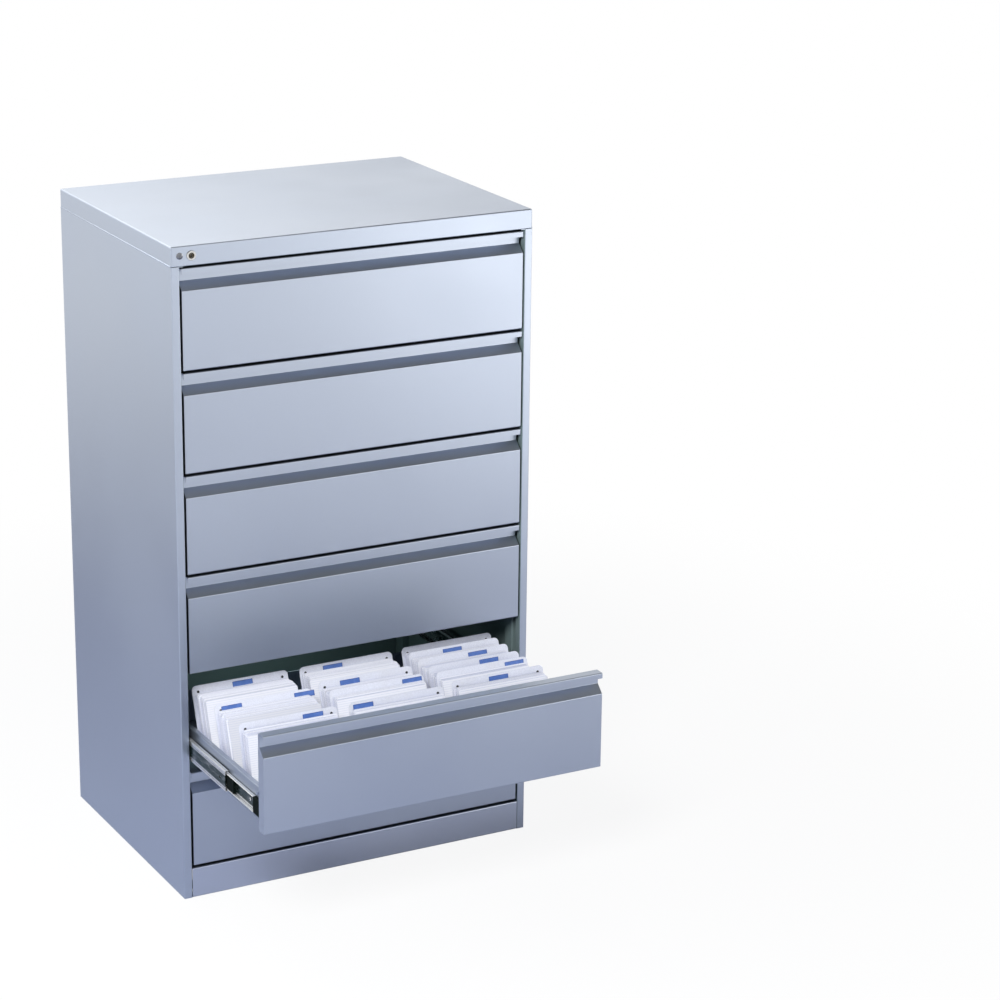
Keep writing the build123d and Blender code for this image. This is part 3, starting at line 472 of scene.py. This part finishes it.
def drawn_metal(name, rgb, rough, lines=(60.0, 3.0, 60.0), depth=0.00002, hollow_shade=0.0, web=None):
    """Plated metal with drawn lines, duller patches, worn edges and painted shade in its channels.

    With a web, the level, pitch and half_web of the web band mask, the web gets painted shade and
    the metal is more even.
    """
    worn_width, worn_share = 0.0008, 0.6
    metallic, dullness = (0.7, 0.95) if web else (1.0, 0.72)
    reach, spread = (0.003, 0.03) if web else (0.012, 0.08)
    material, tree, shader = new_material(name, Metallic=metallic)
    grain = effect(tree, "drawn_grain", Along=lines)
    folds = effect(tree, "edge_highlight_and_wear", Width=worn_width)["Mask"]
    patches = between(tree, grain["Tone"], 0.3, 1.0)
    tone = blended(tree, patches, opaque(rgb, dullness), opaque(rgb))
    tone = blended(tree, product(tree, folds, worn_share), tone, BARE_METAL)
    # Painted shade: hollows found by ambient occlusion, and the web band, are darkened to dark teal
    channel = effect(tree, "painted_gap_shade", Reach=reach, Open_Share=0.9, Closed_Share=0.4)["Mask"]
    dust_and_shade = product(tree, channel, hollow_shade)
    if web:
        dust_and_shade = greater(tree, dust_and_shade, shaded_web_band(tree, *web))
    tone = blended(tree, dust_and_shade, tone, HOLLOW_SHADE)
    roughness = between(tree, grain["Tone"], 0.2, 1.0, rough + spread, rough - spread)
    finish(tree, shader, tone, roughness, grain["Height"], depth)
    return material


def moulded_plastic(name, rgb):
    """Black moulded plastic with a fine spark-eroded grain."""
    grain_scale, grain_depth, worn_width, worn_share = 1800.0, 0.00003, 0.0007, 0.7
    material, tree, shader = new_material(name, Specular_IOR_Level=0.03)
    pits = noise(tree, in_object(tree), grain_scale, Detail=2.0)
    folds = effect(tree, "edge_highlight_and_wear", Width=worn_width)["Mask"]
    worn = product(tree, folds, worn_share)
    tone = blended(tree, worn, opaque(rgb), opaque(rgb, 2.5, 0.03))
    finish(tree, shader, tone, between(tree, pits, 0.3, 0.7, 0.42, 0.62), pits, grain_depth)
    return material


def fibres(tree, scale):
    """Noise of paper fibres in the object's own space."""
    return noise(tree, in_object(tree), scale, Detail=4.0)


def deep_shade(tree, tone):
    """A colour with the bluish shade that gathers between cards and down in the rows."""
    deepest = 0.75
    shade = effect(tree, "painted_gap_shade", Reach=0.045, Open_Share=0.7, Closed_Share=0.1)["Mask"]
    return blended(tree, product(tree, shade, deepest), tone, ROW_SHADE)


def card_paper(cards):
    """Ruled card stock whose shade changes a little from card to card."""
    ruling_strength = 0.3
    material, tree, shader = new_material("card_paper", Roughness=0.72, Specular_IOR_Level=0.25)
    each_card = between(tree, surface(tree, "Random Per Island"), 0.0, 0.4, 0.75)
    paper = shaded(tree, opaque(cards.paper), each_card)
    flat = add(tree, "ShaderNodeUVMap", uv_map="flat").outputs[0]
    rows = arithmetic(tree, "DIVIDE", along(tree, flat, "Y"), cards.ruling_pitch)
    width = cards.ruling_width / cards.ruling_pitch
    line = arithmetic(tree, "LESS_THAN", arithmetic(tree, "FRACT", rows), width)
    tone = blended(tree, product(tree, line, ruling_strength), paper, opaque(cards.ruling))
    finish(tree, shader, deep_shade(tree, tone), height=fibres(tree, 700.0), depth=FIBRE_DEPTH)
    return material


def guide_board(cards):
    """Coated board of the guides, mottled and slightly soiled."""
    material, tree, shader = new_material("guide_board", Specular_IOR_Level=0.35, Coat_Weight=0.08)
    mottling = fibres(tree, 420.0)
    soil = fibres(tree, 14.0)
    spots = between(tree, mottling, 0.35, 0.65, 0.0, 0.6)
    tone = blended(tree, spots, opaque(cards.board), opaque(cards.board, 0.85))
    tone = blended(tree, between(tree, soil, 0.5, 0.8, 0.0, 0.25), tone, SOIL)
    rough = between(tree, soil, 0.3, 0.7, 0.5, 0.62)
    finish(tree, shader, deep_shade(tree, tone), rough, mottling, FIBRE_DEPTH)
    return material


def tab_plastic(name, rgb, rough):
    """Tinted plastic of the tabs, with faint flow marks."""
    material, tree, shader = new_material(name, Coat_Weight=0.2, Coat_Roughness=0.2)
    marks = fibres(tree, 90.0)
    flow = between(tree, marks, 0.35, 0.7, 0.0, 0.4)
    tone = blended(tree, flow, opaque(rgb), opaque(rgb, 1.3, 0.05))
    finish(tree, shader, tone, between(tree, marks, 0.3, 0.7, rough, rough + 0.12))
    return material


def coat_node(name, material, inner=None):
    """Gives a node of the frame its material, and its inward faces another where there is one."""
    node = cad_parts[name]
    node.data.materials.clear()
    node.data.materials.append(material)
    if inner:
        node.data.materials.append(inner)
    for face in node.data.polygons:
        face.material_index = int(bool(inner) and faces_inward(face))


def faces_inward(face):
    """Whether a face of the carcass looks into the cabinet or lies behind a stile."""
    facing, near_middle, under_cover = 0.5, 0.1, 1.3
    x, y, z = face.center
    normal = face.normal
    if normal.x * x < -facing * abs(x) and abs(x) > near_middle:
        return True
    return normal.z < -facing and z > under_cover or normal.y * y < -facing * abs(y)


# ---- Mesh helpers ----
def islands(name):
    """Points of each separate solid of a node of the frame."""
    mesh = bmesh.new()
    mesh.from_mesh(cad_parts[name].data)
    bmesh.ops.remove_doubles(mesh, verts=mesh.verts, dist=MERGE_GAP)
    left = set(mesh.verts)
    found = []
    while left:
        points = []
        front = [left.pop()]
        while front:
            vertex = front.pop()
            points.append(vertex.co.copy())
            beside = left & {edge.other_vert(vertex) for edge in vertex.link_edges}
            left -= beside
            front.extend(beside)
        found.append(points)
    mesh.free()
    return sorted(found, key=lambda points: tuple(round(v, 4) for v in span(points)[0]))


def span(points):
    """Lowest and highest corner of some points."""
    low = Vector([min(p[axis] for p in points) for axis in range(3)])
    high = Vector([max(p[axis] for p in points) for axis in range(3)])
    return low, high


def new_piece(name, mesh, materials, body):
    """Turns mesh code into an object that rides on a body and takes a slot's finish."""
    bmesh.ops.recalc_face_normals(mesh, faces=mesh.faces)
    data = bpy.data.meshes.new(name)
    mesh.to_mesh(data)
    mesh.free()
    for each in materials:
        data.materials.append(each)
    piece = bpy.data.objects.new(name, data)
    bpy.context.scene.collection.objects.link(piece)
    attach(piece, body)
    return piece


def quarter(x, z, radius, start):
    """Points of a quarter turn about a centre, anticlockwise from an angle."""
    turns = (start + step * math.pi / 2 / CORNER_STEPS for step in range(CORNER_STEPS + 1))
    return [(x + radius * math.cos(turn), z + radius * math.sin(turn)) for turn in turns]


def rounded_outline(half_width, height, corner, lower_corner=0.0):
    """Outline of a card standing on z = 0, with rounded corners, anticlockwise."""
    side = half_width - corner
    top = height - corner
    points = quarter(side, top, corner, 0.0) + quarter(-side, top, corner, math.pi / 2)
    if not lower_corner:
        return [(half_width, 0.0)] + points + [(-half_width, 0.0)]
    side = half_width - lower_corner
    points += quarter(-side, lower_corner, lower_corner, math.pi)
    return points + quarter(side, lower_corner, lower_corner, 1.5 * math.pi)


def rectangle(left, right, low, high):
    """Outline of a rectangle, anticlockwise."""
    return [(right, low), (right, high), (left, high), (left, low)]


def add_wall(mesh, near, far):
    """Joins two rings of points by a wall of faces."""
    here = list(zip(near, far))
    after = here[1:] + here[:1]
    return [mesh.faces.new((b[0], *a, b[1])) for a, b in zip(here, after)]


def add_plate(mesh, outline, thickness, matrix, material_index=0):
    """Adds a flat plate: the outline in x and z, its thickness along y, placed by a matrix."""
    flat = mesh.loops.layers.uv.get("flat") or mesh.loops.layers.uv.new("flat")
    near, far = (
        [mesh.verts.new(matrix @ Vector((x, y, z))) for x, z in outline]
        for y in (-thickness / 2, thickness / 2)
    )
    places = dict(zip(near + far, outline + outline))
    for face in (mesh.faces.new(near), mesh.faces.new(far[::-1]), *add_wall(mesh, near, far)):
        face.material_index = material_index
        for loop in face.loops:
            loop[flat].uv = places[loop.vert]


def add_turned(mesh, profile, matrix, segments=12, material_index=0, smooth=False):
    """Adds a closed turned piece from (radius, height) points, turned about its own z."""
    turns = [2 * math.pi * step / segments for step in range(segments)]
    rings = []
    for radius, height in profile:
        around = turns if radius else turns[:1]
        places = [(radius * math.cos(turn), radius * math.sin(turn), height) for turn in around]
        rings.append([mesh.verts.new(matrix @ Vector(place)) for place in places])
    for lower, upper in zip(rings, rings[1:]):
        for step in range(segments):
            after = (step + 1) % segments
            corners = [lower[turn % len(lower)] for turn in (step, after)]
            corners += [upper[turn % len(upper)] for turn in (after, step)]
            face = mesh.faces.new(list(dict.fromkeys(corners)))
            face.material_index = material_index
            face.smooth = smooth


class Leaning:
    """A leaning plate or pack, read from its points: where its foot is, its size and its lean."""

    end_share = 0.15

    def __init__(self, points):
        low, high = span(points)
        edge = (high.z - low.z) * self.end_share
        foot = [p.y for p in points if p.z < low.z + edge]
        top = [p.y for p in points if p.z > high.z - edge]
        self.x = (low.x + high.x) / 2
        self.low = low.z
        self.front = min(foot)
        self.back = max(foot)
        self.width = high.x - low.x
        self.depth = self.back - self.front
        self.lean = math.atan2(max(top) - self.back, high.z - low.z)
        self.height = (high.z - low.z) / math.cos(self.lean)

    def foot(self):
        """Matrix that stands a piece on the foot, leaning as the plate does."""
        place = Matrix.Translation((self.x, (self.front + self.back) / 2, self.low))
        return place @ Matrix.Rotation(-self.lean, 4, "X")


# ---- Operators ----
class CABINET_OT_enamel_sheet_metal(bpy.types.Operator):
    """Enamels the carcass, the fronts, the plinth, the trays and the inner sheet metal"""

    bl_idname = "cabinet.enamel_sheet_metal"
    bl_label = "Enamel the sheet metal"

    def execute(self, context):
        settings = context.scene.cabinet_enamel
        carcass = enamel("carcass_enamel", settings.carcass, settings, dust=0.06)
        # The cover's folds get a stronger painted highlight
        cover = enamel("cover_enamel", settings.carcass, settings, dust=0.06, painted_fold_highlight=0.85)
        fronts = enamel("front_enamel", settings.fronts, settings)
        # Painted light: a lighter copy of the enamel brightens the plinth
        plinth = enamel("plinth_lighter_copy", settings.plinth, settings)
        inside = enamel("inner_enamel", settings.inside, settings, dust=0.1, metal=0.1)
        trays = enamel("tray_enamel", settings.trays, settings, dust=0.05, metal=0.8)
        for name in PANELS:
            coat_node(name, carcass, inside)
        coat_node("top_cover", cover, inside)
        for name in INNER_NODES:
            coat_node(name, inside)
        coat_node("plinth", plinth)
        for number in DRAWERS:
            coat_node(f"drawer_{number}_front", fronts)
            coat_node(f"drawer_{number}_tray", trays)
            coat_node(f"drawer_{number}_lane_dividers", trays)
        return {"FINISHED"}


class CABINET_OT_cover_hem(bpy.types.Operator):
    """Builds the rolled hems along the lower edges of the cover's sides"""

    bl_idname = "cabinet.cover_hem"
    bl_label = "Build the cover's hems"

    def execute(self, context):
        low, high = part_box("top_cover")
        radius = context.scene.cabinet_enamel.hem_radius
        run = high[1] - low[1] - 2 * radius
        profile = [(0, 0), (radius * 0.7, radius * 0.3), (radius, radius)]
        profile += [(across, run - height) for across, height in reversed(profile)]
        mesh = bmesh.new()
        backward = Matrix.Rotation(-math.pi / 2, 4, "X")
        for x in (low[0] + radius * 0.3, high[0] - radius * 0.3):
            foot = Matrix.Translation((x, low[1] + radius, low[2] + radius * 0.9))
            add_turned(mesh, profile, foot @ backward, smooth=True)
        cover = bpy.data.materials["cover_enamel"]
        new_piece("cover_hems", mesh, [cover], "carcass")
        return {"FINISHED"}


class CABINET_OT_plate_metal_parts(bpy.types.Operator):
    """Plates the slides, the lock, the locking bar and the rivets, and colours the plastic parts"""

    bl_idname = "cabinet.plate_metal_parts"
    bl_label = "Plate the metal parts"

    def execute(self, context):
        metal = context.scene.cabinet_metal
        rough = metal.zinc_roughness
        fine = {"lines": (30.0, 30.0, 30.0), "depth": 0.00001}
        # The last setting of each metal says how strongly its hollows are darkened as painted shade
        zinc = drawn_metal("bright_zinc", metal.zinc, rough, hollow_shade=0.92)
        upright_zinc = drawn_metal("bar_zinc", metal.zinc, 0.34, lines=(60.0, 60.0, 3.0))
        plastic = moulded_plastic("black_plastic", metal.plastic)
        finishes = {
            "slide_cabinet_members": zinc,
            "panel_rivets": zinc,
            "lock_cam": upright_zinc,
            "locking_bar": upright_zinc,
            "lock_housing": drawn_metal("satin_nickel", metal.nickel, 0.14, hollow_shade=0.8, **fine),
            # The lock's core is darkened as painted shade for its keyway
            "lock_core": drawn_metal("brass_in_painted_shade", metal.brass, 0.34, hollow_shade=0.95, **fine),
            "blanking_cap": drawn_metal("dull_nickel", metal.cap, 0.12, hollow_shade=0.9, **fine),
            "levelling_feet": plastic,
        }
        drawer_zinc, middle_zinc = self.web_shaded_zinc(metal)
        for number in DRAWERS:
            finishes[f"drawer_{number}_drawer_members"] = drawer_zinc
            finishes[f"drawer_{number}_middle_members"] = middle_zinc
            finishes[f"drawer_{number}_slide_latches"] = plastic
        for name, material in finishes.items():
            coat_node(name, material)
        return {"FINISHED"}

    def web_shaded_zinc(self, metal):
        """Zinc of the drawer members and of the middle members, with painted shade on the web
        between their lips.
        """
        low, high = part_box("drawer_6_drawer_members")
        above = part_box("drawer_5_drawer_members")[0]
        foot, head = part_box("drawer_6_middle_members")
        level = (low[2] + high[2]) / 2
        pitch = above[2] - low[2]
        drawer_web = (high[2] - low[2]) / 2 - metal.lip
        middle_web = (head[2] - foot[2]) / 2 - 2 * metal.lip
        for name, half_web in (("web_shaded_zinc", drawer_web), ("middle_zinc", middle_web)):
            web = (level, pitch, half_web)
            yield drawn_metal(name, metal.zinc, metal.zinc_roughness, hollow_shade=0.95, web=web)


class CABINET_OT_ball_cages(bpy.types.Operator):
    """Builds the ball cages of the slides, with their single balls"""

    bl_idname = "cabinet.ball_cages"
    bl_label = "Build the ball cages"

    def execute(self, context):
        metal = context.scene.cabinet_metal
        lines = (20.0, 20.0, 20.0)
        steel = drawn_metal("ball_steel", metal.ball, 0.14, lines=lines, depth=0.000005)
        zinc = bpy.data.materials["bright_zinc"]
        for number in DRAWERS:
            node = f"drawer_{number}_ball_cages"
            mesh = bmesh.new()
            for points in islands(node):
                self.build_cage(mesh, points, metal)
            name = f"ball_rows_{number}"
            piece = new_piece(name, mesh, [zinc, steel], f"runners_{number}")
            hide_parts(node)
        return {"FINISHED"}

    def build_cage(self, mesh, points, metal):
        """One cage: a folded strip and a row of balls in each of its flanges."""
        low, high = span(points)
        radius = metal.ball_radius
        race = [p.x for p in points if p.z > high.z - radius / 4]
        ball_x = sum(race) / len(race)
        web_x = low.x if ball_x - low.x > high.x - ball_x else high.x
        inner_x = web_x + math.copysign(metal.cage_sheet, ball_x - web_x)
        upper = high.z - radius
        lower = low.z + radius
        half = metal.cage_sheet / 2
        outside = [(ball_x, upper + half), (web_x, upper + half)]
        outside += [(web_x, lower - half), (ball_x, lower - half)]
        inside = [(ball_x, lower + half), (inner_x, lower + half)]
        inside += [(inner_x, upper - half), (ball_x, upper - half)]
        section = outside + inside
        front, back = ([mesh.verts.new((x, y, z)) for x, z in section] for y in (low.y, high.y))
        flanges_and_web = ((0, 1, 6, 7), (1, 2, 5, 6), (2, 3, 4, 5))
        for corners in flanges_and_web:
            mesh.faces.new([front[i] for i in corners])
            mesh.faces.new([back[i] for i in reversed(corners)])
        add_wall(mesh, front, back)
        self.add_balls(mesh, ball_x, (upper, lower), low.y, high.y, metal)

    def add_balls(self, mesh, x, levels, front, back, metal):
        """Rows of balls from the front to the back of a cage, at its levels."""
        radius = metal.ball_radius
        steps = 6
        turns = [math.pi * step / steps for step in range(1, steps)]
        ball = [(radius * math.sin(turn), -radius * math.cos(turn)) for turn in turns]
        ball = [(0, -radius), *ball, (0, radius)]
        run = back - front
        count = int((run - 2 * radius) / metal.ball_pitch)
        margin = (run - count * metal.ball_pitch) / 2
        for level in levels:
            for step in range(count + 1):
                place = (x, front + margin + step * metal.ball_pitch, level)
                add_turned(mesh, ball, Matrix.Translation(place), 10, 1, smooth=True)


class CABINET_OT_slide_screws(bpy.types.Operator):
    """Builds the screws that hold each drawer member to its tray"""

    bl_idname = "cabinet.slide_screws"
    bl_label = "Build the slide screws"

    def execute(self, context):
        metal = context.scene.cabinet_metal
        nickel = bpy.data.materials["satin_nickel"]
        for number in DRAWERS:
            mesh = bmesh.new()
            for points in islands(f"drawer_{number}_drawer_members"):
                self.add_row(mesh, *span(points), metal)
            new_piece(f"slide_screws_{number}", mesh, [nickel], f"drawer_{number}")
        return {"FINISHED"}

    def add_row(self, mesh, low, high, metal):
        """Screws along one member, their heads inside its channel."""
        radius = metal.screw_radius
        top = metal.screw_height
        head = [(0, 0), (radius, 0), (radius, top * 0.35), (radius * 0.75, top * 0.85)]
        socket = [(radius * 0.42, top), (radius * 0.36, top * 0.35), (0, top * 0.25)]
        side = 1 if low.x > 0 else -1
        seat = (low.x if side > 0 else high.x) + side * SLIDE_SHEET
        outward = Matrix.Rotation(side * math.pi / 2, 4, "Y")
        level = (low.z + high.z) / 2
        run = high.y - low.y - 2 * metal.screw_inset
        for step in range(metal.screws):
            y = low.y + metal.screw_inset + run * step / (metal.screws - 1)
            add_turned(mesh, head + socket, Matrix.Translation((seat, y, level)) @ outward)


class CABINET_OT_card_rows(bpy.types.Operator):
    """Fills the open drawer with single cards, pack by pack"""

    bl_idname = "cabinet.card_rows"
    bl_label = "Fill the card rows"

    def execute(self, context):
        cards = context.scene.cabinet_cards
        paper = card_paper(cards)
        chance = random.Random(cards.seed)
        for index, points in enumerate(islands("index_cards"), start=1):
            mesh = bmesh.new()
            self.fill_pack(mesh, Leaning(points), cards, chance)
            piece = new_piece(f"card_pack_{index}", mesh, [paper], OPEN_DRAWER)
            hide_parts("index_cards")
        return {"FINISHED"}

    def fill_pack(self, mesh, pack, cards, chance):
        """Leaning cards from the back of a pack to its front, each a little out of line."""
        fewest, sway = 3, 0.001
        most_drop, own_shift, own_drop, room = 1.6, 0.2, 0.25, 1.2
        pitch = cards.pitch / math.cos(pack.lean)
        count = max(fewest, int(pack.depth / pitch))
        step_y = (pack.depth - cards.thickness) / (count - 1)
        slack = cards.unevenness
        half_width = pack.width / 2 - slack * room
        bundle_end = 0
        for step in range(count):
            if step == bundle_end:
                bundle_end = step + chance.randint(2, cards.bundle)
                bundle_shift = chance.uniform(-slack, slack)
                bundle_drop = chance.uniform(0, slack * most_drop)
            y = pack.back - cards.thickness / 2 - step * step_y
            shift = bundle_shift + chance.uniform(-own_shift, own_shift) * slack
            drop = bundle_drop + chance.uniform(0, own_drop) * slack
            outline = rounded_outline(half_width, pack.height - drop, cards.corner)
            turn = Matrix.Rotation(-pack.lean + chance.uniform(-sway, sway), 4, "X")
            place = Matrix.Translation((pack.x + shift, y, pack.low + cards.thickness / 2))
            add_plate(mesh, outline, cards.thickness, place @ turn)


class CABINET_OT_guides_and_tabs(bpy.types.Operator):
    """Gives the guides their board, and builds the tabs with their paper slips"""

    bl_idname = "cabinet.guides_and_tabs"
    bl_label = "Make the guides and tabs"

    def execute(self, context):
        cards = context.scene.cabinet_cards
        coat_node("card_guides", guide_board(cards))
        plastic = tab_plastic("tab_plastic", cards.tab, 0.3)
        slip = tab_plastic("tab_slip", cards.tab_slip, 0.5)
        mesh = bmesh.new()
        for points in islands("label_tabs"):
            self.add_tab(mesh, Leaning(points), cards)
        piece = new_piece("label_holders", mesh, [plastic, slip], OPEN_DRAWER)
        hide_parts("label_tabs")
        mesh = bmesh.new()
        guides = islands("card_guides")
        plain = min(len(points) for points in guides)
        for points in guides:
            if len(points) > plain:
                self.add_eyelets(mesh, Leaning(points), cards)
        # The eyelets are near black, partly as painted shade for the deep punched holes
        black = bpy.data.materials["black_plastic"]
        new_piece("guide_eyelets", mesh, [black], OPEN_DRAWER)
        return {"FINISHED"}

    def add_eyelets(self, mesh, guide, cards):
        """Black rivets that close the two punched holes of a guide; their near-black is partly
        painted shade for the deep holes.
        """
        radius = cards.hole_radius
        head = cards.eyelet_head
        profile = [(0, -head), (radius * 0.9, -head), (radius * 1.15, -head / 2)]
        profile += [(radius * 1.15, 0), (radius * 0.9, head / 2), (0, head / 2)]
        backward = Matrix.Rotation(-math.pi / 2, 4, "X")
        for side in (-1, 1):
            x = side * (guide.width / 2 - cards.hole_inset)
            place = Matrix.Translation((x, -guide.depth / 2, guide.height - cards.hole_inset))
            add_turned(mesh, profile, guide.foot() @ place @ backward, 14)

    def add_tab(self, mesh, tab, cards):
        """One tab: a plate with rounded corners, a raised frame round it and its slip."""
        foot = tab.foot()
        half = tab.width / 2
        height = tab.height
        rim = cards.tab_rim
        corner = cards.tab_corner
        add_plate(mesh, rounded_outline(half, height, corner, corner), cards.tab_sheet, foot)
        frame_bars = (
            (-half, half, 0, rim),
            (-half, half, height - rim, height),
            (-half, rim - half, rim, height - rim),
            (half - rim, half, rim, height - rim),
        )
        bar_sheet, slip_sheet, sunk = 0.0004, 0.0002, 0.00005
        in_front = Matrix.Translation((0, sunk - (cards.tab_sheet + bar_sheet) / 2, 0))
        for bar in frame_bars:
            add_plate(mesh, rectangle(*bar), bar_sheet, foot @ in_front)
        slip = rectangle(rim - half, half - rim, rim, height - rim)
        on_plate = Matrix.Translation((0, -(cards.tab_sheet + slip_sheet) / 2, 0))
        add_plate(mesh, slip, slip_sheet, foot @ on_plate, 1)


class CABINET_OT_studio(bpy.types.Operator):
    """Sets the camera, the soft lamps, the world and the pale floor"""

    bl_idname = "cabinet.studio"
    bl_label = "Set up the studio"

    def execute(self, context):
        studio = context.scene.cabinet_studio
        context.scene.view_settings.view_transform = "Standard"
        self.set_camera(context, studio)
        self.set_world(context, studio)
        self.set_floor(context, studio)
        self.set_lamps(context)
        return {"FINISHED"}

    def set_camera(self, context, studio):
        """Camera at its place, turned, tilted down and rolled."""
        data = bpy.data.cameras.new("camera")
        data.lens = studio.lens
        data.sensor_width = studio.sensor
        data.clip_end = 100.0
        camera = bpy.data.objects.new("camera", data)
        context.scene.collection.objects.link(camera)
        turn = Matrix.Rotation(-studio.heading, 4, "Z")
        raise_up = Matrix.Rotation(math.pi / 2 - studio.tilt, 4, "X")
        roll = Matrix.Rotation(studio.roll, 4, "Z")
        camera.matrix_world = Matrix.Translation(studio.place) @ turn @ raise_up @ roll
        context.scene.camera = camera

    def set_world(self, context, studio):
        """Soft bluish light all round, white where it is seen or mirrored, under a dark ceiling."""
        world = bpy.data.worlds.new("studio_world")
        context.scene.world = world
        world.use_nodes = True
        tree = world.node_tree
        tree.nodes.clear()
        ceiling_from, ceiling_to, dimmed = 0.25, 0.85, 0.6
        seen, mirrored = ray_kinds(tree)
        tone = blended(tree, greater(tree, seen, mirrored), opaque(studio.sky), WHITE)
        direction = add(tree, "ShaderNodeTexCoord").outputs["Generated"]
        ceiling = between(tree, along(tree, direction, "Z"), ceiling_from, ceiling_to)
        levels = {
            "Factor": mirrored,
            "A": between(tree, ceiling, 0.0, 1.0, studio.sky_level, studio.sky_level * dimmed),
            "B": between(tree, ceiling, 0.0, 1.0, 1.0, studio.ceiling),
        }
        level = add(tree, "ShaderNodeMix", levels, data_type="FLOAT").outputs[0]
        light = {"Color": tone, "Strength": greater(tree, level, seen)}
        background = add(tree, "ShaderNodeBackground", light).outputs[0]
        add(tree, "ShaderNodeOutputWorld", {"Surface": background})

    def set_floor(self, context, studio):
        """Wide round floor that shows nearly white and keeps the cabinet's shadow."""
        below_feet, corners, radius = 0.0005, 64, studio.floor_radius
        mesh = bmesh.new()
        turns = [math.tau * step / corners for step in range(corners)]
        rim = [(radius * math.cos(turn), radius * math.sin(turn), 0) for turn in turns]
        mesh.faces.new([mesh.verts.new(corner) for corner in rim])
        data = bpy.data.meshes.new("floor")
        mesh.to_mesh(data)
        mesh.free()
        data.materials.append(self.floor_material(studio))
        floor = bpy.data.objects.new("floor", data)
        floor.location.z = -below_feet
        context.scene.collection.objects.link(floor)

    def floor_material(self, studio):
        """Pale floor that turns white farther off, where it is seen and where it is mirrored; the
        mirrored glow is painted light.
        """
        material, tree, shader = new_material("pale_floor", Roughness=0.8)
        seen, mirrored = ray_kinds(tree)
        speckle = fibres(tree, 60.0)
        tone = blended(tree, speckle, opaque(studio.floor), opaque(studio.floor, 0.97))
        finish(tree, shader, blended(tree, seen, tone, SEEN_FLOOR))
        where = surface(tree, "Position")
        away = add(tree, "ShaderNodeVectorMath", {0: where}, operation="LENGTH").outputs["Value"]
        # Painted light: in mirrors the floor glows, weakly beside the cabinet and fully farther off
        bright = studio.floor_mirror
        dim = bright * studio.floor_dim
        lit = between(tree, away, studio.lit_from, studio.lit_to, dim, bright)
        white = between(tree, away, studio.glow_from, studio.glow_to, studio.floor_glow)
        factor = greater(tree, product(tree, seen, white), product(tree, mirrored, lit))
        glow = add(tree, "ShaderNodeEmission", {"Color": WHITE, "Strength": 1.0}).outputs[0]
        shaders = {0: factor, 1: shader.outputs[0], 2: glow}
        mixed = add(tree, "ShaderNodeMixShader", shaders).outputs[0]
        output = next(node for node in tree.nodes if node.type == "OUTPUT_MATERIAL")
        feed(tree, mixed, output.inputs["Surface"])
        return material

    def set_lamps(self, context):
        """An overhead lamp, lamps for the fronts and the left side, and a faint one in the bay."""
        warm = (1.0, 0.99, 0.97)
        lamps = (
            ("overhead", (-0.4, 1.2, 3.0), (-0.1, 0.1, 1.3), 3.0, 27.0, warm, True),
            ("front_lamp", (2.5, -2.8, 0.8), (0.4, -0.3, 0.9), 2.0, 16.0, warm, True),
            ("left_key", (-1.9, -2.6, 2.7), (0.0, -0.4, 0.5), 1.3, 150.0, (1.0, 1.0, 0.99), False),
            ("bay_fill", (0.0, 0.08, 0.44), (0.0, 0.1, 0.2), 0.3, 0.36, (0.8, 1.0, 0.96), True),
            ("side_lamp", (-2.6, 0.8, 1.9), (-0.5, 0.1, 0.3), 1.2, 13.0, (0.95, 0.98, 1.0), True),
        )
        for name, place, target, size, power, tint, mirrored in lamps:
            data = bpy.data.lights.new(name, "AREA")
            data.shape = "DISK"
            data.size = size
            data.energy = power
            data.color = tint
            lamp = bpy.data.objects.new(name, data)
            context.scene.collection.objects.link(lamp)
            lamp.location = place
            aim = Vector(target) - Vector(place)
            lamp.rotation_mode = "QUATERNION"
            lamp.rotation_quaternion = aim.to_track_quat("-Z", "Y")
            lamp.visible_camera = False
            lamp.visible_glossy = mirrored


class CABINET_PT_panel(bpy.types.Panel):
    """Lists the steps that dress the cabinet"""

    bl_idname = "CABINET_PT_panel"
    bl_label = "Card-index cabinet"
    bl_space_type = "VIEW_3D"
    bl_region_type = "UI"
    bl_category = "Cabinet"

    def draw(self, context):
        for operator in OPERATORS:
            self.layout.operator(operator.bl_idname)


OPERATORS = (
    CABINET_OT_enamel_sheet_metal,
    CABINET_OT_cover_hem,
    CABINET_OT_plate_metal_parts,
    CABINET_OT_ball_cages,
    CABINET_OT_slide_screws,
    CABINET_OT_card_rows,
    CABINET_OT_guides_and_tabs,
    CABINET_OT_studio,
)
SETTINGS = {
    "cabinet_enamel": CABINET_PG_enamel,
    "cabinet_metal": CABINET_PG_metal,
    "cabinet_cards": CABINET_PG_cards,
    "cabinet_studio": CABINET_PG_studio,
}


def register():
    """Adds the classes, and the settings to the scene."""
    for made in (*SETTINGS.values(), *OPERATORS, CABINET_PT_panel):
        bpy.utils.register_class(made)
    for name, group in SETTINGS.items():
        setattr(bpy.types.Scene, name, PointerProperty(type=group))


def unregister():
    """Takes the settings and the classes away again."""
    for name in SETTINGS:
        delattr(bpy.types.Scene, name)
    for made in (CABINET_PT_panel, *reversed(OPERATORS), *SETTINGS.values()):
        bpy.utils.unregister_class(made)


def main():
    """Dresses the cabinet."""
    register()
    bpy.ops.cabinet.enamel_sheet_metal()
    bpy.ops.cabinet.cover_hem()
    bpy.ops.cabinet.plate_metal_parts()
    bpy.ops.cabinet.ball_cages()
    bpy.ops.cabinet.slide_screws()
    bpy.ops.cabinet.card_rows()
    bpy.ops.cabinet.guides_and_tabs()
    bpy.ops.cabinet.studio()


if __name__ == "__main__":
    main()
